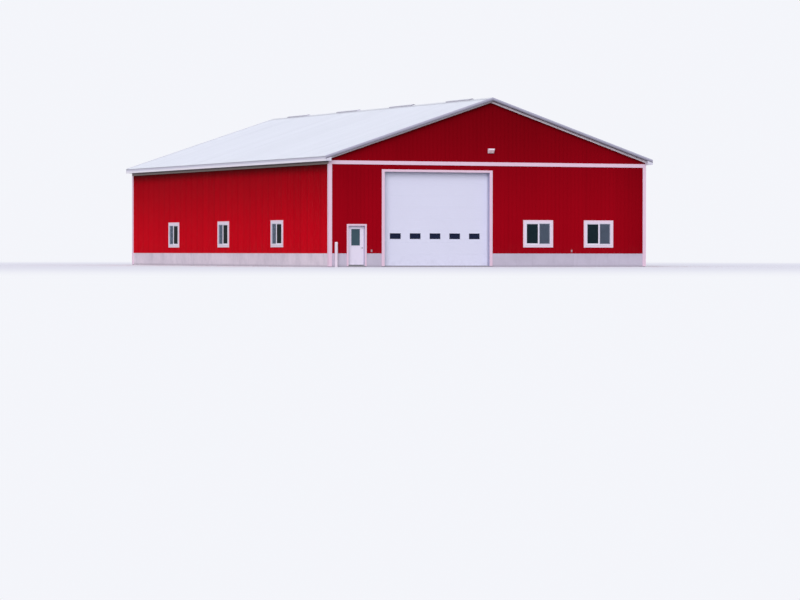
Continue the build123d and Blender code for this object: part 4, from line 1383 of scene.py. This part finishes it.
def roofScrews():
    look = screwLook
    low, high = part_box("roof_sheet_right")
    slope = math.atan(roofPitch)
    run = high.x / math.cos(slope)
    columns = int((high.y - low.y) / ribPitch)
    rows = int((run - look["ridgeGap"]) / look["roofRow"])
    start = (-columns * ribPitch / 2 + look["besideRib"], 0, look["eaveRow"])
    field = screwField("roof_screws", start, columns, ribPitch, rows, look["roofRow"])
    lean = Matrix.Rotation(-(math.pi / 2 - slope), 4, "X")
    turn = Matrix.Rotation(math.pi / 2, 4, "Z")
    field.matrix_world = Matrix.Translation((high.x, 0, panEdge)) @ turn @ lean
    settle(field)
    modify(field, "MIRROR", use_axis=(True, False, False))
    return field


panEdge = rakeHigh.z - screwLook["panDrop"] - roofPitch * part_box("roof_sheet_right")[1].x
finished(roofScrews(), finishes["roof"])
print("screws made")


# Floor and sky: pale to the camera, plainer to the light that bounces
stageLook = {
    "sky": (0.905, 0.915, 0.96, 1.0), "floor": (0.86, 0.86, 0.90, 1.0), "bounce": (0.30, 0.30, 0.30, 1.0),
    "half": 3000.0, "drop": 0.001, "fadeFrom": 25.0, "fadeTo": 90.0,
}


def seenDirectly(finish):  # camera, mirror and see-through rays
    path = finish.tree.nodes.new("ShaderNodeLightPath")
    kinds = ("Is Camera Ray", "Is Glossy Ray", "Is Transmission Ray")
    rays = [Wire(finish, path.outputs[kind]) for kind in kinds]
    return (rays[0] + rays[1] + rays[2]).maths("MINIMUM", 1.0)


def makeFloor():
    look = stageLook
    freshStart()
    bpy.ops.mesh.primitive_plane_add(size=2 * look["half"], location=(0, 0, -look["drop"]))
    floor = named("floor")
    finish = Finish("floorPale")
    away = finish.add("ShaderNodeVectorMath", {"operation": "LENGTH"}, [finish.place], "Value")
    fade = finish.between(away, look["fadeFrom"], look["fadeTo"])
    near = finish.add("ShaderNodeBsdfDiffuse", None, {"Color": look["floor"]})
    far = finish.add("ShaderNodeEmission", None, {"Color": look["sky"], "Strength": 1.0})
    plain = finish.add("ShaderNodeBsdfDiffuse", None, {"Color": look["bounce"]})
    shown = finish.add("ShaderNodeMixShader", None, [fade, near, far])
    finish.close(finish.add("ShaderNodeMixShader", None, [seenDirectly(finish), plain, shown]))
    wear(floor, finish.material)


class SkyFinish(Finish):
    def __init__(self, world):
        world.use_nodes = True
        self.tree = world.node_tree
        self.tree.nodes.clear()


daylight = {
    "sky": (0.93, 0.94, 1.03, 1.0), "skyStrength": 0.68, "sunStrength": 1.75, "sunAngle": 45.0,
    "sunFrom": (-0.49, -0.71, 0.42), "sunAway": 60, "sunColour": (0.97, 0.96, 1.04),
}


def makeLight():
    look = daylight
    world = bpy.data.worlds.new("paleSky")
    bpy.context.scene.world = world
    sky = SkyFinish(world)
    light = sky.add("ShaderNodeBackground", None, {"Color": look["sky"], "Strength": look["skyStrength"]})
    shown = sky.add("ShaderNodeBackground", None, {"Color": stageLook["sky"], "Strength": 1.0})
    both = sky.add("ShaderNodeMixShader", None, [seenDirectly(sky), light, shown])
    last = sky.tree.nodes.new("ShaderNodeOutputWorld")
    sky.tree.links.new(both.socket, last.inputs["Surface"])
    freshStart()
    bpy.ops.object.light_add(type="SUN", location=Vector(look["sunFrom"]) * look["sunAway"])
    lamp = bpy.context.object
    lamp.data.energy = look["sunStrength"]
    lamp.data.angle = math.radians(look["sunAngle"])
    lamp.data.color = look["sunColour"]
    lamp.rotation_euler = Vector(look["sunFrom"]).to_track_quat("Z", "Y").to_euler()


# The photograph's view, fitted to the edges of the building
viewpoint = {
    "place": (-75.411, -174.770, 0.771), "yaw": 23.7642, "pitch": -0.8146, "roll": 0.0543,
    "lens": 151.503, "sensor": 36.0, "clip": (1.0, 6000.0),
}


def makeCamera():
    look = viewpoint
    freshStart()
    bpy.ops.object.camera_add()
    camera = bpy.context.object
    camera.name = "photoView"
    camera.data.lens = look["lens"]
    camera.data.sensor_width = look["sensor"]
    camera.data.sensor_fit = "HORIZONTAL"
    camera.data.clip_start, camera.data.clip_end = look["clip"]
    heading = Matrix.Rotation(-math.radians(look["yaw"]), 4, "Z")
    tilt = Matrix.Rotation(math.pi / 2 + math.radians(look["pitch"]), 4, "X")
    lean = Matrix.Rotation(math.radians(look["roll"]), 4, "Z")
    camera.matrix_world = Matrix.Translation(look["place"]) @ heading @ tilt @ lean
    bpy.context.scene.camera = camera


makeFloor()
makeLight()
makeCamera()
bpy.context.scene.view_settings.view_transform = "Standard"
print("stage, light and camera set")
